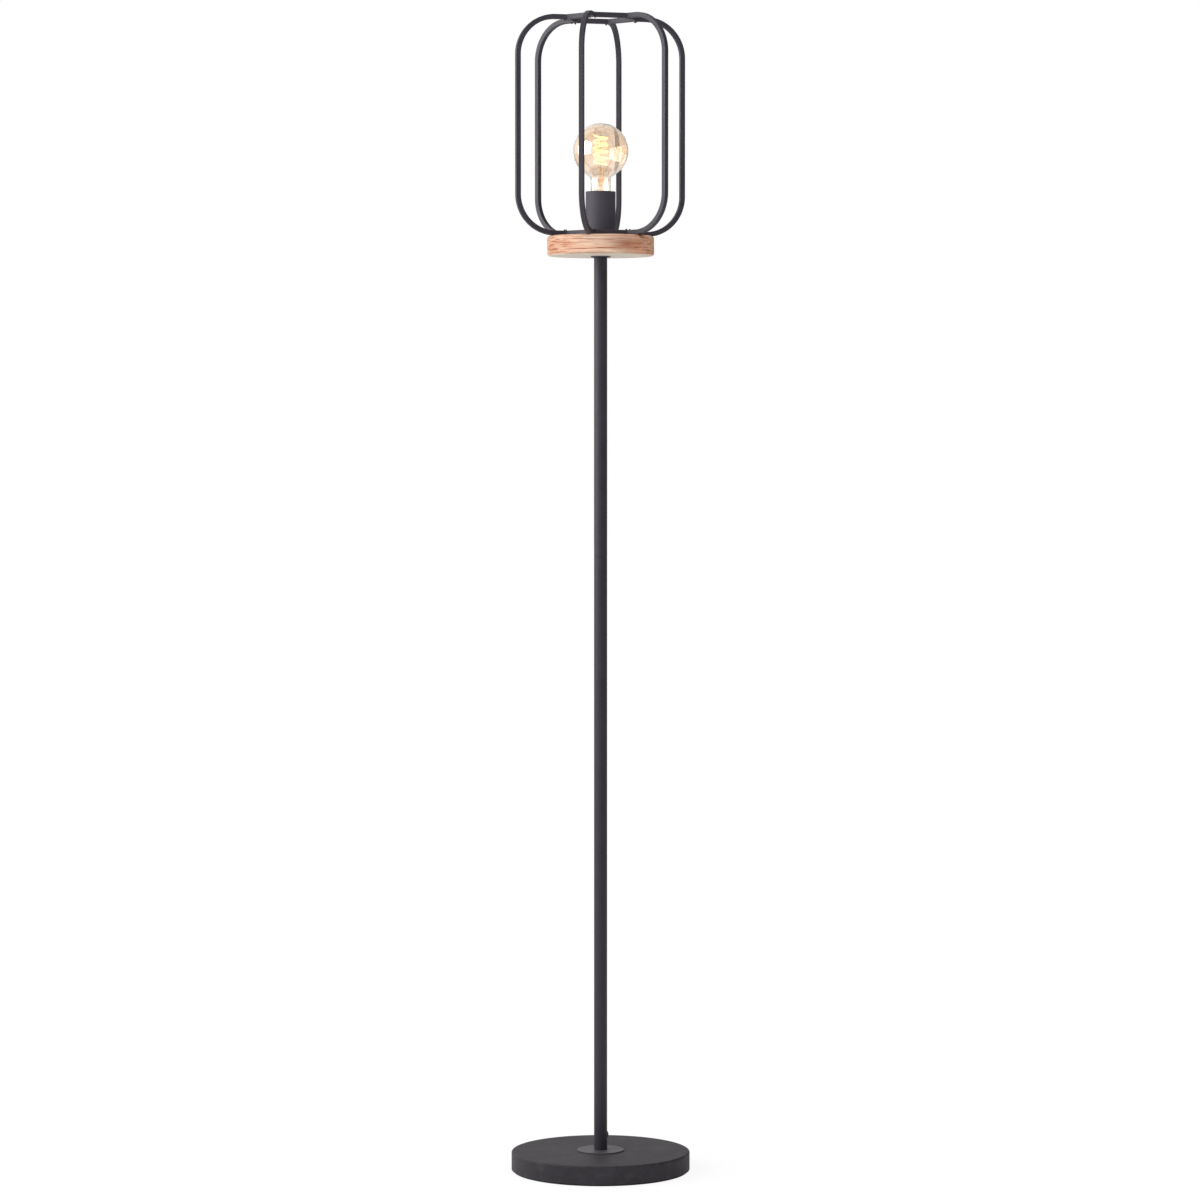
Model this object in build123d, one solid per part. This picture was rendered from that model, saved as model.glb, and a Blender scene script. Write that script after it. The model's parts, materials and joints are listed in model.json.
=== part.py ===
from build123d import *
import math
import os

# Floor lamp: a weighted round base, a pole in three sections, a wooden disc, a cage of bent
# square bar on two hexagons, and a light bulb that screws into a holder in a straight metal cup.
# Millimetres. +Z is up, the origin is on the floor under the pole, and the front is -Y.

# ---------------------------------------------------------------- driving dimensions
# Base
PAD_RADIUS = 106.0
PAD_THICK = 2.0
COVER_RADIUS = 108.1
COVER_TOP = 24.0
COVER_SHEET = 1.2
COVER_EDGE = 2.2
WEIGHT_RADIUS = 105.5
POCKET_RADIUS = 17.0
POCKET_TOP = 12.0
FLANGE_RADIUS = 28.6
FLANGE_THICK = 1.5

# Pole
TUBE_RADIUS = 8.0
TUBE_WALL = 1.0
SECTION_LENGTH = 360.0
INSERT_LENGTH = 10.0
THREAD_RADIUS = 5.0
NIPPLE_BORE = 3.5
NIPPLE_LENGTH = 18.0

# Lead and gland
LEAD_RADIUS = 2.6
CORE_RADIUS = 1.1
GLAND_HEIGHT = 42.7
GLAND_TURN = 33.0
GLAND_RADIUS = 5.3
GLAND_REACH = 11.0
GLAND_NECK = 3.8

# Wooden disc
DISC_RADIUS = 64.4
DISC_THICK = 24.0
DISC_EDGE = 3.2
DISC_WASHER_RADIUS = 12.0
DISC_WASHER_THICK = 1.5

# Cage
BAR = 6.0
BAR_EDGE = 0.8
BAR_COUNT = 6
BAR_TURN = -12.5
CAGE_RADIUS = 103.5
CAGE_HEIGHT = 264.5
CAGE_BEND = 46.0
HEXAGON_RADIUS = 46.2
STRAP_WIDTH = 26.0
STRAP_THICK = 2.0

# Cup and lampholder
CUP_RADIUS = 18.0
CUP_WALL = 1.0
CUP_FLOOR = 1.2
CUP_HEIGHT = 51.5
WASHER_THICK = 1.0
BASE_WASHER_RADIUS = 13.0
HEAD_WASHER_RADIUS = 9.0
NUT_FLATS = 14.0
NUT_THICK = 4.0
HOLDER_RADIUS = 16.4
CHAMBER_RADIUS = 12.0
FLOOR_THICK = 3.0
SHELL_BORE = 13.4
SHELL_SHEET = 0.4
TERMINAL_X = 7.4
STRIP_THICK = 0.6
STRIP_WIDTH = 6.0
LEG_WIDTH = 9.0
SCREW_HEAD = 1.7
SCREW_SHANK = 1.0
FIT = 0.2

# Light bulb
GLOBE_RADIUS = 33.3
GLOBE_HEIGHT = 1233.4
GLASS_THICK = 0.8
NECK_RADIUS = 12.1
NECK_FILLET = 6.0
NECK_IN_CAP = 6.0
CAP_RADIUS = 13.1
CAP_ROOT = 12.2
CAP_SHEET = 0.35
TIP_RADIUS = 4.6
THREAD_PITCH = 3.629
THREAD_RIDGES = 5
FILAMENT_RADIUS = 0.8
FILAMENT_COIL = 8.2
FILAMENT_TURNS = 4.5
FILAMENT_PITCH = 8.0
WIRE_RADIUS = 0.35
POST_RADIUS = 1.5
PINCH_LOW = 1192.5
PINCH_HIGH = 1201.0
POST_TOP = 1214.0

# ---------------------------------------------------------------- heights that follow
POLE_FOOT = COVER_TOP + FLANGE_THICK
SEAM_LOW = POLE_FOOT + SECTION_LENGTH
SEAM_HIGH = SEAM_LOW + SECTION_LENGTH
POLE_TOP = SEAM_HIGH + SECTION_LENGTH
DISC_LOW = POLE_TOP + DISC_WASHER_THICK
DISC_TOP = DISC_LOW + DISC_THICK
CUP_LOW = DISC_TOP + STRAP_THICK
CUP_INSIDE = CUP_LOW + CUP_FLOOR
CUP_RIM = CUP_LOW + CUP_HEIGHT
NUT_LOW = CUP_INSIDE + WASHER_THICK
NUT_TOP = NUT_LOW + NUT_THICK
HOLDER_LOW = NUT_TOP + 0.4
NIPPLE_TOP = HOLDER_LOW + 6.5
HOLDER_FLOOR = HOLDER_LOW + 12.0
HOLDER_RIM = CUP_RIM - 1.5
CONTACT_LOW = HOLDER_FLOOR + FLOOR_THICK
TIP_LOW = CONTACT_LOW + 1.6
CAP_LOW = TIP_LOW + 4.2
CAP_TOP = CUP_RIM - 1.0
LEAD_END = NIPPLE_TOP - 2.0
LEG_LOW = HOLDER_LOW + 7.5
GLASS_LOW = CAP_TOP - NECK_IN_CAP
TUBE_BORE = TUBE_RADIUS - TUBE_WALL
COIL_LOW = GLOBE_HEIGHT - FILAMENT_PITCH * FILAMENT_TURNS / 2 + 1.2
COIL_HIGH = COIL_LOW + FILAMENT_PITCH * FILAMENT_TURNS


# ---------------------------------------------------------------- helpers
def save(part, name):
    """Write one sub-part as a STEP file of its own."""
    export_step(part, f"parts/{name}.step")


def rod(radius, low, high):
    """Upright round bar on the lamp's axis."""
    return Pos(0, 0, low) * extrude(Circle(radius), high - low)


def ring(outer, inner, low, high):
    """Upright ring or tube on the lamp's axis."""
    return Pos(0, 0, low) * extrude(Circle(outer) - Circle(inner), high - low)


def outer_circles(part):
    """The round edges with the part's largest radius."""
    return part.edges().filter_by(GeomType.CIRCLE).group_by(SortBy.RADIUS)[-1]


def hexagon_nut(flats, low, high):
    """Six-sided nut with chamfered corners and a hole the size of the thread."""
    body = Pos(0, 0, low) * extrude(RegularPolygon(flats / 2, 6, major_radius=False), high - low)
    corner = flats / math.sqrt(3)
    cone = Pos(0, 0, low) * chamfer(Cylinder(
        corner, high - low, align=(Align.CENTER, Align.CENTER, Align.MIN)).edges(), 0.7)
    return (body & cone) - rod(THREAD_RADIUS, low - 1, high + 1)


def nipple(low, high):
    """Hollow threaded tube: its crests are one smooth cylinder, with a chamfer at both ends."""
    tube = ring(THREAD_RADIUS, NIPPLE_BORE, low, high)
    return chamfer(outer_circles(tube), 0.6)


def tube_path(points, radii):
    """Straight runs through the points, joined by tangent arcs of the given radii."""
    return FilletPolyline(*points, radius=radii)


def sweep_round(path, radius):
    """Round tube along a path, started square to it."""
    start = Plane(origin=path @ 0, z_dir=path % 0)
    return sweep(start * Circle(radius), path=path)


# ---------------------------------------------------------------- base
def make_base():
    save(ring(PAD_RADIUS, POCKET_RADIUS, 0, PAD_THICK), "base_pad")

    weight_top = COVER_TOP - COVER_SHEET
    weight = rod(WEIGHT_RADIUS, PAD_THICK, weight_top)
    weight = fillet(weight.edges(), 1.0)
    weight -= rod(POCKET_RADIUS, PAD_THICK - 1, POCKET_TOP)
    weight -= rod(THREAD_RADIUS + 2 * FIT, POCKET_TOP - 1, weight_top + 1)
    save(weight, "base_weight")

    outside = rod(COVER_RADIUS, PAD_THICK, COVER_TOP)
    rim = outside.edges().group_by(Axis.Z)[-1]
    outside = fillet(rim, COVER_EDGE)
    inside = rod(COVER_RADIUS - COVER_SHEET, PAD_THICK - 1, weight_top)
    inner_rim = inside.edges().group_by(Axis.Z)[-1]
    inside = fillet(inner_rim, COVER_EDGE - COVER_SHEET)
    cover = outside - inside - rod(THREAD_RADIUS + 2 * FIT, weight_top - 1, COVER_TOP + 1)
    save(cover, "base_cover")

    flange = ring(FLANGE_RADIUS, THREAD_RADIUS + FIT, COVER_TOP, POLE_FOOT)
    save(fillet(outer_circles(flange).sort_by(Axis.Z)[-1], 0.6), "foot_flange")

    washer_low = POCKET_TOP - WASHER_THICK * 2
    nut_low = washer_low - NUT_THICK
    save(ring(BASE_WASHER_RADIUS, THREAD_RADIUS + FIT, washer_low, POCKET_TOP), "base_washer")
    save(hexagon_nut(NUT_FLATS, nut_low, washer_low), "base_nut")
    save(nipple(nut_low - 1.0, POLE_FOOT + INSERT_LENGTH), "base_nipple")


# ---------------------------------------------------------------- pole
def at_gland(shape):
    """Turn a shape built along +X so that it points out of the back of the pole."""
    return Pos(0, 0, GLAND_HEIGHT) * Rot(0, 0, 90 - GLAND_TURN) * shape


def bar_along_x(radius, near, far):
    return Pos(near, 0, 0) * Rot(0, 90, 0) * extrude(Circle(radius), far - near)


def make_pole():
    lows = {"pole_lower": POLE_FOOT, "pole_middle": SEAM_LOW, "pole_upper": SEAM_HIGH}
    insert_number = 0
    for name, low in lows.items():
        tube = ring(TUBE_RADIUS, TUBE_BORE, low, low + SECTION_LENGTH)
        tube = chamfer(outer_circles(tube), 0.25)
        if name == "pole_lower":
            tube -= at_gland(bar_along_x(GLAND_NECK, 0, TUBE_RADIUS + 2))
        save(tube, name)
        for insert_low in (low, low + SECTION_LENGTH - INSERT_LENGTH):
            insert_number += 1
            plug = ring(TUBE_BORE, THREAD_RADIUS, insert_low, insert_low + INSERT_LENGTH)
            save(plug, f"tube_insert_{insert_number}")

    for name, seam in (("joint_nipple_lower", SEAM_LOW), ("joint_nipple_upper", SEAM_HIGH)):
        save(nipple(seam - NIPPLE_LENGTH / 2, seam + NIPPLE_LENGTH / 2), name)


def make_gland():
    head = bar_along_x(GLAND_RADIUS, TUBE_RADIUS - 2, GLAND_REACH)
    lip = head.edges().group_by(Axis.X)[-1]
    head = fillet(lip, 2.0)
    head -= Pos(0, 0, -20) * extrude(Circle(TUBE_RADIUS), 40)
    neck = bar_along_x(GLAND_NECK, TUBE_BORE - 0.8, TUBE_RADIUS + 1)
    gland = head + neck - bar_along_x(LEAD_RADIUS, 0, GLAND_REACH + 1)
    save(at_gland(gland), "cord_gland")


def make_lead():
    out_x = math.sin(math.radians(GLAND_TURN))
    out_y = math.cos(math.radians(GLAND_TURN))
    bend = TUBE_BORE - 0.6
    points = [
        (GLAND_REACH * out_x, GLAND_REACH * out_y, GLAND_HEIGHT),
        (0, 0, GLAND_HEIGHT),
        (0, 0, LEAD_END),
    ]
    path = tube_path(points, bend)
    lead = sweep_round(path, LEAD_RADIUS)
    expected = math.pi * LEAD_RADIUS ** 2 * path.length
    print(f"inner lead: length {path.length:.1f}, bend radius {bend:.1f}, "
          f"volume over section times length {lead.volume / expected:.5f}")
    save(lead, "inner_lead")

    apart = 1.3
    rise = LEAD_END + 4.6
    for number, side in ((1, 1), (2, -1)):
        route = [
            (side * apart, 0, LEAD_END),
            (side * apart, 0, rise),
            (side * (TERMINAL_X - 2 * FIT), -2.4, rise),
        ]
        core = sweep_round(tube_path(route, 2.4), CORE_RADIUS)
        save(core, f"lead_core_{number}")


# ---------------------------------------------------------------- wooden disc
def make_disc():
    washer = ring(DISC_WASHER_RADIUS, THREAD_RADIUS + FIT, POLE_TOP, DISC_LOW)
    save(chamfer(outer_circles(washer).sort_by(Axis.Z)[0], 0.5), "disc_washer")

    disc = fillet(rod(DISC_RADIUS, DISC_LOW, DISC_TOP).edges(), DISC_EDGE)
    save(disc - rod(THREAD_RADIUS + 2 * FIT, DISC_LOW - 1, DISC_TOP + 1), "wood_disc")


# ---------------------------------------------------------------- cage
def bar_angle(number):
    """Turn about +Z that takes a shape built along +X to the bar of that number."""
    return -90 + BAR_TURN + number * 360 / BAR_COUNT


def hexagon_frame(low):
    """Closed hexagon of the cage's bar, with a corner at every upright bar."""
    inner_radius = HEXAGON_RADIUS - BAR / math.cos(math.radians(30))
    outline = RegularPolygon(HEXAGON_RADIUS, 6) - RegularPolygon(inner_radius, 6)
    frame = Pos(0, 0, low) * Rot(0, 0, bar_angle(0)) * extrude(outline, BAR)
    flat_edges = frame.edges().filter_by(Axis.Z, reverse=True)
    return fillet(flat_edges, BAR_EDGE)


def cage_bar():
    """One bent bar, built towards +X, with its ends notched to sit on the hexagon corners."""
    low = DISC_TOP + BAR / 2
    high = DISC_TOP + CAGE_HEIGHT - BAR / 2
    inside = HEXAGON_RADIUS - BAR
    points = [(inside, 0, low), (CAGE_RADIUS, 0, low), (CAGE_RADIUS, 0, high), (inside, 0, high)]
    path = tube_path(points, CAGE_BEND)
    start = Plane(origin=path @ 0, x_dir=(0, 1, 0), z_dir=path % 0)
    bar = sweep(start * RectangleRounded(BAR, BAR, BAR_EDGE), path=path)
    notch = Pos(0, 0, DISC_TOP - 1) * extrude(RegularPolygon(HEXAGON_RADIUS, 6), CAGE_HEIGHT + 2)
    return bar - notch


def make_cage():
    save(hexagon_frame(DISC_TOP), "cage_bottom_hexagon")
    save(hexagon_frame(DISC_TOP + CAGE_HEIGHT - BAR), "cage_top_hexagon")

    bar = cage_bar()
    for number in range(BAR_COUNT):
        save(Rot(0, 0, bar_angle(number)) * bar, f"cage_bar_{number + 1}")

    inner_flats = HEXAGON_RADIUS * math.cos(math.radians(30)) - BAR
    strip = Pos(0, 0, DISC_TOP) * extrude(Rectangle(2 * inner_flats, STRAP_WIDTH), STRAP_THICK)
    strip -= rod(THREAD_RADIUS + FIT, DISC_TOP - 1, CUP_LOW + 1)
    save(Rot(0, 0, bar_angle(0) + 30) * strip, "cage_strap")


# ---------------------------------------------------------------- cup and lampholder
def at_terminal(side, shape):
    """Turn a shape built along +X to the screw of the contact leg on that side."""
    turn = Rot(0, 0, 0 if side == 1 else 180)
    return Pos(0, 2.2, LEG_LOW + 2.2) * turn * shape


def strip_leg(side, top):
    """Upright contact leg that hangs into the wire chamber, with the hole for its screw."""
    middle = side * (TERMINAL_X + STRIP_THICK / 2)
    leg = Pos(middle, 0, LEG_LOW) * extrude(Rectangle(STRIP_THICK, LEG_WIDTH), top - LEG_LOW)
    return leg - at_terminal(side, bar_along_x(SCREW_SHANK, 0, TERMINAL_X + 2))


def terminal_screw(side):
    """Slotted screw through a contact leg."""
    face = TERMINAL_X + STRIP_THICK
    screw = bar_along_x(SCREW_HEAD, face, face + 1.4) + bar_along_x(SCREW_SHANK, face - 2.0, face)
    screw -= Pos(face + 1.4, 0, 0) * Box(1.2, 0.5, 4)
    return at_terminal(side, screw)


def make_cup():
    cup = rod(CUP_RADIUS, CUP_LOW, CUP_RIM)
    cup = fillet(cup.edges().group_by(Axis.Z)[0], 1.0)
    cup -= rod(CUP_RADIUS - CUP_WALL, CUP_INSIDE, CUP_RIM + 1)
    cup -= rod(THREAD_RADIUS + FIT, CUP_LOW - 1, CUP_INSIDE + 1)
    rim = cup.edges().group_by(Axis.Z)[-1]
    save(fillet(rim, 0.35), "socket_cup")

    save(nipple(POLE_TOP - INSERT_LENGTH, NIPPLE_TOP), "head_nipple")
    save(ring(HEAD_WASHER_RADIUS, THREAD_RADIUS + FIT, CUP_INSIDE, NUT_LOW), "head_washer")
    save(hexagon_nut(NUT_FLATS, NUT_LOW, NUT_TOP), "head_nut")


def make_holder():
    base = rod(HOLDER_RADIUS, HOLDER_LOW, HOLDER_FLOOR)
    base = fillet(base.edges().group_by(Axis.Z)[0], 1.2)
    base -= rod(THREAD_RADIUS, HOLDER_LOW - 1, HOLDER_FLOOR)
    base -= rod(CHAMBER_RADIUS, NIPPLE_TOP, HOLDER_FLOOR + 1)
    save(base, "holder_base")

    shell_outer = SHELL_BORE + SHELL_SHEET
    body = rod(HOLDER_RADIUS, HOLDER_FLOOR, HOLDER_RIM)
    body = chamfer(body.edges().group_by(Axis.Z)[-1], 0.8)
    body -= rod(shell_outer, CONTACT_LOW, HOLDER_RIM + 1)
    for side in (1, -1):
        middle = side * (TERMINAL_X + STRIP_THICK / 2)
        slot = Rectangle(STRIP_THICK + 2 * FIT, LEG_WIDTH + 2 * FIT)
        body -= Pos(middle, 0, HOLDER_FLOOR - 1) * extrude(slot, FLOOR_THICK + 2)
    save(body, "holder_body")

    shell_low = CONTACT_LOW + 2.0
    shell = ring(shell_outer, SHELL_BORE, shell_low, HOLDER_RIM - 0.8)
    save(shell, "holder_shell")

    # The centre strip runs from its leg to the axis and lies under the tip of the bulb.
    strip_high = CONTACT_LOW + STRIP_THICK
    reach = TERMINAL_X + STRIP_THICK
    past = 3.0
    blank = Rectangle(reach + past, STRIP_WIDTH)
    strip = Pos((past - reach) / 2, 0, CONTACT_LOW) * extrude(blank, STRIP_THICK)
    button = rod(STRIP_WIDTH / 2 - 0.4, strip_high, TIP_LOW)
    save(strip_leg(-1, strip_high) + strip + button, "centre_contact")

    # The side strip stands on its leg, runs outwards and turns up under the threaded sleeve.
    foot_length = SHELL_BORE - FIT - TERMINAL_X
    foot_blank = Rectangle(foot_length, STRIP_WIDTH)
    foot = Pos(TERMINAL_X + foot_length / 2, 0, CONTACT_LOW) * extrude(foot_blank, STRIP_THICK)
    tongue_blank = Rectangle(STRIP_THICK, STRIP_WIDTH)
    tongue_x = SHELL_BORE - FIT - STRIP_THICK / 2
    tongue = Pos(tongue_x, 0, CONTACT_LOW) * extrude(tongue_blank, shell_low - CONTACT_LOW)
    save(strip_leg(1, strip_high) + foot + tongue, "side_contact")

    screws = Compound(children=[terminal_screw(side) for side in (1, -1)])
    save(screws, "terminal_screws")


# ---------------------------------------------------------------- light bulb
def globe(shrink):
    """Ball and neck in one, with a soft fillet between them, made smaller by shrink all round."""
    ball = Pos(0, 0, GLOBE_HEIGHT) * Sphere(GLOBE_RADIUS - shrink)
    neck = rod(NECK_RADIUS - shrink, GLASS_LOW, GLOBE_HEIGHT)
    both = ball + neck
    seam = both.edges().filter_by(GeomType.CIRCLE).sort_by(Axis.Z)[1]
    return fillet(seam, NECK_FILLET + shrink)


def make_glass():
    glass = globe(0) - globe(GLASS_THICK)
    glass -= rod(NECK_RADIUS - GLASS_THICK, GLASS_LOW - 1, CAP_TOP)
    glass -= ring(NECK_RADIUS + 1, CAP_ROOT - CAP_SHEET, GLASS_LOW - 1, CAP_TOP)
    save(glass, "bulb_glass")


def make_cap():
    """Thin threaded cap: smooth ridges stand for the thread, one pitch apart."""
    barrel = ring(CAP_ROOT, CAP_ROOT - CAP_SHEET, CAP_LOW, CAP_TOP)
    for number in range(THREAD_RIDGES):
        middle = CAP_LOW + 2.6 + number * THREAD_PITCH
        half = THREAD_PITCH * 0.36
        ridge = make_face(Polyline(
            (CAP_ROOT - 0.1, 0, middle - half), (CAP_RADIUS, 0, middle - 0.4),
            (CAP_RADIUS, 0, middle + 0.4), (CAP_ROOT - 0.1, 0, middle + half),
            (CAP_ROOT - 0.1, 0, middle - half)))
        barrel += revolve(ridge, Axis.Z)
    save(barrel, "bulb_cap")

    low = TIP_LOW + 1.0
    high = CAP_LOW + 1.5
    wide = CAP_ROOT - CAP_SHEET
    side_view = Polyline(
        (0, 0, low), (TIP_RADIUS + 1.4, 0, low), (wide, 0, high), (0, 0, high), (0, 0, low))
    save(revolve(make_face(side_view), Axis.Z), "bulb_insulator")

    tip = rod(TIP_RADIUS, TIP_LOW, low)
    save(fillet(tip.edges().group_by(Axis.Z)[0], 0.5), "bulb_tip")


def make_stem():
    """Glass flare that closes the neck, then the flat pinch and the post."""
    wide = NECK_RADIUS - GLASS_THICK
    slim = 3.6
    side_view = Polyline(
        (0, 0, GLASS_LOW), (wide, 0, GLASS_LOW), (2 * slim, 0, GLASS_LOW + 3),
        (slim, 0, PINCH_LOW - 3), (slim, 0, PINCH_LOW), (0, 0, PINCH_LOW), (0, 0, GLASS_LOW))
    flare = revolve(make_face(side_view), Axis.Z)
    pinch_outline = RectangleRounded(9.0, slim, slim / 2 - 0.2)
    pinch = Pos(0, 0, PINCH_LOW) * extrude(pinch_outline, PINCH_HIGH - PINCH_LOW)
    pinch = fillet(pinch.edges().group_by(Axis.Z)[-1], 0.8)
    save(flare + pinch + rod(POST_RADIUS, PINCH_HIGH - 1, POST_TOP), "bulb_stem")


def helix_point(turn):
    """Point of the filament's centre line after that many turns."""
    angle = 2 * math.pi * turn
    return Vector(FILAMENT_COIL * math.cos(angle), FILAMENT_COIL * math.sin(angle),
                  COIL_LOW + FILAMENT_PITCH * turn)


def helix_tangent(turn):
    angle = 2 * math.pi * turn
    slope = FILAMENT_PITCH / (2 * math.pi)
    return Vector(-FILAMENT_COIL * math.sin(angle), FILAMENT_COIL * math.cos(angle), slope).normalized()


def biarc(start, start_tangent, end, end_tangent):
    """Two arcs that meet smoothly, from one point and direction to another."""
    across = end - start
    both = start_tangent + end_tangent
    a = 2 * (1 - start_tangent.dot(end_tangent))
    b = 2 * across.dot(both)
    reach = (-b + math.sqrt(b * b + 4 * a * across.dot(across))) / (2 * a)
    near = start + start_tangent * reach
    far = end - end_tangent * reach
    middle = (near + far) / 2
    return [TangentArc(start, middle, tangent=start_tangent),
            TangentArc(middle, end, tangent=far - near)]


def filament_path():
    """Quarter turns of two arcs each, with a straight end of one diameter before and after."""
    straight = 2 * FILAMENT_RADIUS
    arcs = [Line(helix_point(0) - helix_tangent(0) * straight, helix_point(0))]
    quarters = round(FILAMENT_TURNS * 4)
    for number in range(quarters):
        first = number / 4
        second = (number + 1) / 4
        arcs += biarc(helix_point(first), helix_tangent(first),
                      helix_point(second), helix_tangent(second))
    last = helix_point(FILAMENT_TURNS)
    arcs.append(Line(last, last + helix_tangent(FILAMENT_TURNS) * straight))
    return Wire(arcs)


def least_gap(path, radius):
    """Least distance from the tube to its own other turns, measured on points of the path."""
    count = 720
    points = [path @ (number / count) for number in range(count + 1)]
    away = int(count * 0.5 / FILAMENT_TURNS)
    nearest = min(
        (points[i] - points[j]).length
        for i in range(0, count + 1, 3) for j in range(i + away, count + 1))
    return nearest - 2 * radius


def make_filament():
    path = filament_path()
    filament = sweep_round(path, FILAMENT_RADIUS)
    expected = math.pi * FILAMENT_RADIUS ** 2 * path.length
    print(f"filament: {FILAMENT_TURNS} turns, length {path.length:.1f}, least gap to itself "
          f"{least_gap(path, FILAMENT_RADIUS):.2f}, volume over section times length "
          f"{filament.volume / expected:.5f}")
    save(filament, "bulb_filament")

    # One wire leaves the pinch and the other the post, and each ends across an end of the filament.
    side = helix_point(0).X
    across = -2 * FILAMENT_RADIUS - WIRE_RADIUS - 0.1
    low_route = [(3.2, 0, PINCH_HIGH), (3.2, 0, PINCH_HIGH + 6),
                 (side, across, COIL_LOW - 4), (side, across, COIL_LOW + 2)]
    high_route = [(0, 0, POST_TOP), (0, 0, COIL_HIGH + 3),
                  (-side, across, COIL_HIGH + 3), (-side, across, COIL_HIGH - 2)]
    for number, route in ((1, low_route), (2, high_route)):
        save(sweep_round(tube_path(route, 1.4), WIRE_RADIUS), f"bulb_wire_{number}")


# ---------------------------------------------------------------- build everything
os.makedirs("parts", exist_ok=True)
make_base()
make_pole()
make_gland()
make_lead()
make_disc()
make_cage()
make_cup()
make_holder()
make_glass()
make_cap()
make_stem()
make_filament()
print(f"overall height {DISC_TOP + CAGE_HEIGHT:.1f}")
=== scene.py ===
# %% [markdown]
# # Dressing a floor lamp
# The lamp has a heavy round base, a pole in three sections, a wooden disc and a cage of bent
# square bar round an amber light bulb. Its CAD model holds every size, so this lesson loads it as
# a fixed frame and adds what the eye looks for: paint, grain, glass, threads and welds.
# Heights and radii are read from the frame where they can be, so that each piece fits its place.

# %% Load the frame
import json
import math

import bmesh
import bpy
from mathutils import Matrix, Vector


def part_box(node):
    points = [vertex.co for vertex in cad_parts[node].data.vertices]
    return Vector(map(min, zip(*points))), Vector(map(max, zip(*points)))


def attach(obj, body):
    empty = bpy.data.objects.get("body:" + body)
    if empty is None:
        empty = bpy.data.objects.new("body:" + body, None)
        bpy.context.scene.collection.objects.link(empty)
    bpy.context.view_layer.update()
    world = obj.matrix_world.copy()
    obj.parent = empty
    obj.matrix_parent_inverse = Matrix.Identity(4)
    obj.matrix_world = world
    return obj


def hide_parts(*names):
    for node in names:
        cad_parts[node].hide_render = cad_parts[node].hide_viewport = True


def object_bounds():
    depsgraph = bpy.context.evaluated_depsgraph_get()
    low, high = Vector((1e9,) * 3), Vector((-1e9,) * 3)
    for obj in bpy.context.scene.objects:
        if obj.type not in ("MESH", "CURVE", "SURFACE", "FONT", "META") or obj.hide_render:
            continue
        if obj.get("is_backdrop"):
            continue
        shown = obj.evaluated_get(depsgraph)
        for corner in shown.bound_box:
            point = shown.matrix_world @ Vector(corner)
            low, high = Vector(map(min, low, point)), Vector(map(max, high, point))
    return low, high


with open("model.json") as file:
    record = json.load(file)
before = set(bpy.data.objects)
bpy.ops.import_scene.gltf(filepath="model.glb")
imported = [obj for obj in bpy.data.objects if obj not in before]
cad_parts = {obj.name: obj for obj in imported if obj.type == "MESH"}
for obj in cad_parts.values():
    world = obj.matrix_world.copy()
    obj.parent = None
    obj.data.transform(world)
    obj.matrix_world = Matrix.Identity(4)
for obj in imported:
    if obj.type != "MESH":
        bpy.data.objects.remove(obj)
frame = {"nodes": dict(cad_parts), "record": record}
cad_low, cad_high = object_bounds()
nodes = frame["nodes"]
MM = 0.001
print("CAD nodes:", len(nodes), "height in mm:", round((cad_high.z - cad_low.z) / MM, 1))

# %% [markdown]
# ## The camera
# The photograph was taken from nearly five metres away, a little above the middle of the lamp,
# with a slight tilt downwards. That far away, the upright lines stay almost parallel. The values
# come from matching the base, the pole's seams and the cage's corners to where they are seen, and
# a very small shift lifts the lamp to its place in the frame.

# %% Camera
CAMERA_AWAY = 4.7985
CAMERA_HEIGHT = 0.8898
CAMERA_SIDE = -0.00072
CAMERA_PITCH_DOWN = 2.093
CAMERA_SHIFT = -0.015
LENS_MM = 119.27
SENSOR_MM = 36.0

scene = bpy.context.scene
scene.view_settings.view_transform = "Standard"


def add_to_scene(name, data):
    """New object at the origin, in the scene."""
    thing = bpy.data.objects.new(name, data)
    scene.collection.objects.link(thing)
    return thing


camera_data = bpy.data.cameras.new("camera")
camera_data.lens = LENS_MM
camera_data.sensor_width = SENSOR_MM
camera_data.shift_y = CAMERA_SHIFT
camera = add_to_scene("camera", camera_data)
camera.location = (CAMERA_SIDE, -CAMERA_AWAY, CAMERA_HEIGHT)
camera.rotation_euler = (math.radians(90 - CAMERA_PITCH_DOWN), 0, 0)
scene.camera = camera
print("camera stands", CAMERA_AWAY, "m in front of the pole")

# %% [markdown]
# ## Small helpers for node trees
# Materials and Geometry Nodes are both trees of nodes. Wiring them by hand in code is wordy, so a
# few helpers do it: they add a node and fill its inputs, do a sum, mix two colours or stretch one
# range of numbers to another. An input goes by its name, or by its number where names repeat.
# Colours are written as they look on a screen, from 0 to 255, and turned into linear light.

# %% Node helpers


def feed(tree, socket, value):
    """Links the socket if the value comes from another node, and sets it otherwise."""
    if isinstance(value, bpy.types.NodeSocket):
        tree.links.new(value, socket)
    else:
        socket.default_value = value


def fill(tree, node, values):
    """Feeds these inputs of a node."""
    for name, value in values.items():
        feed(tree, node.inputs[name], value)


def put(tree, kind, inputs=None, **settings):
    """Adds a node with these settings and inputs."""
    node = tree.nodes.new(kind)
    for name, value in settings.items():
        setattr(node, name, value)
    fill(tree, node, inputs or {})
    return node


def calc(tree, operation, *terms):
    """One sum on numbers."""
    return put(tree, "ShaderNodeMath", dict(enumerate(terms)), operation=operation).outputs[0]


def times(tree, first, second):
    """The product of two numbers."""
    return calc(tree, "MULTIPLY", first, second)


def plus(tree, first, second):
    """The sum of two numbers."""
    return calc(tree, "ADD", first, second)


def minus(tree, first, second):
    """The first number less the second."""
    return calc(tree, "SUBTRACT", first, second)


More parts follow.
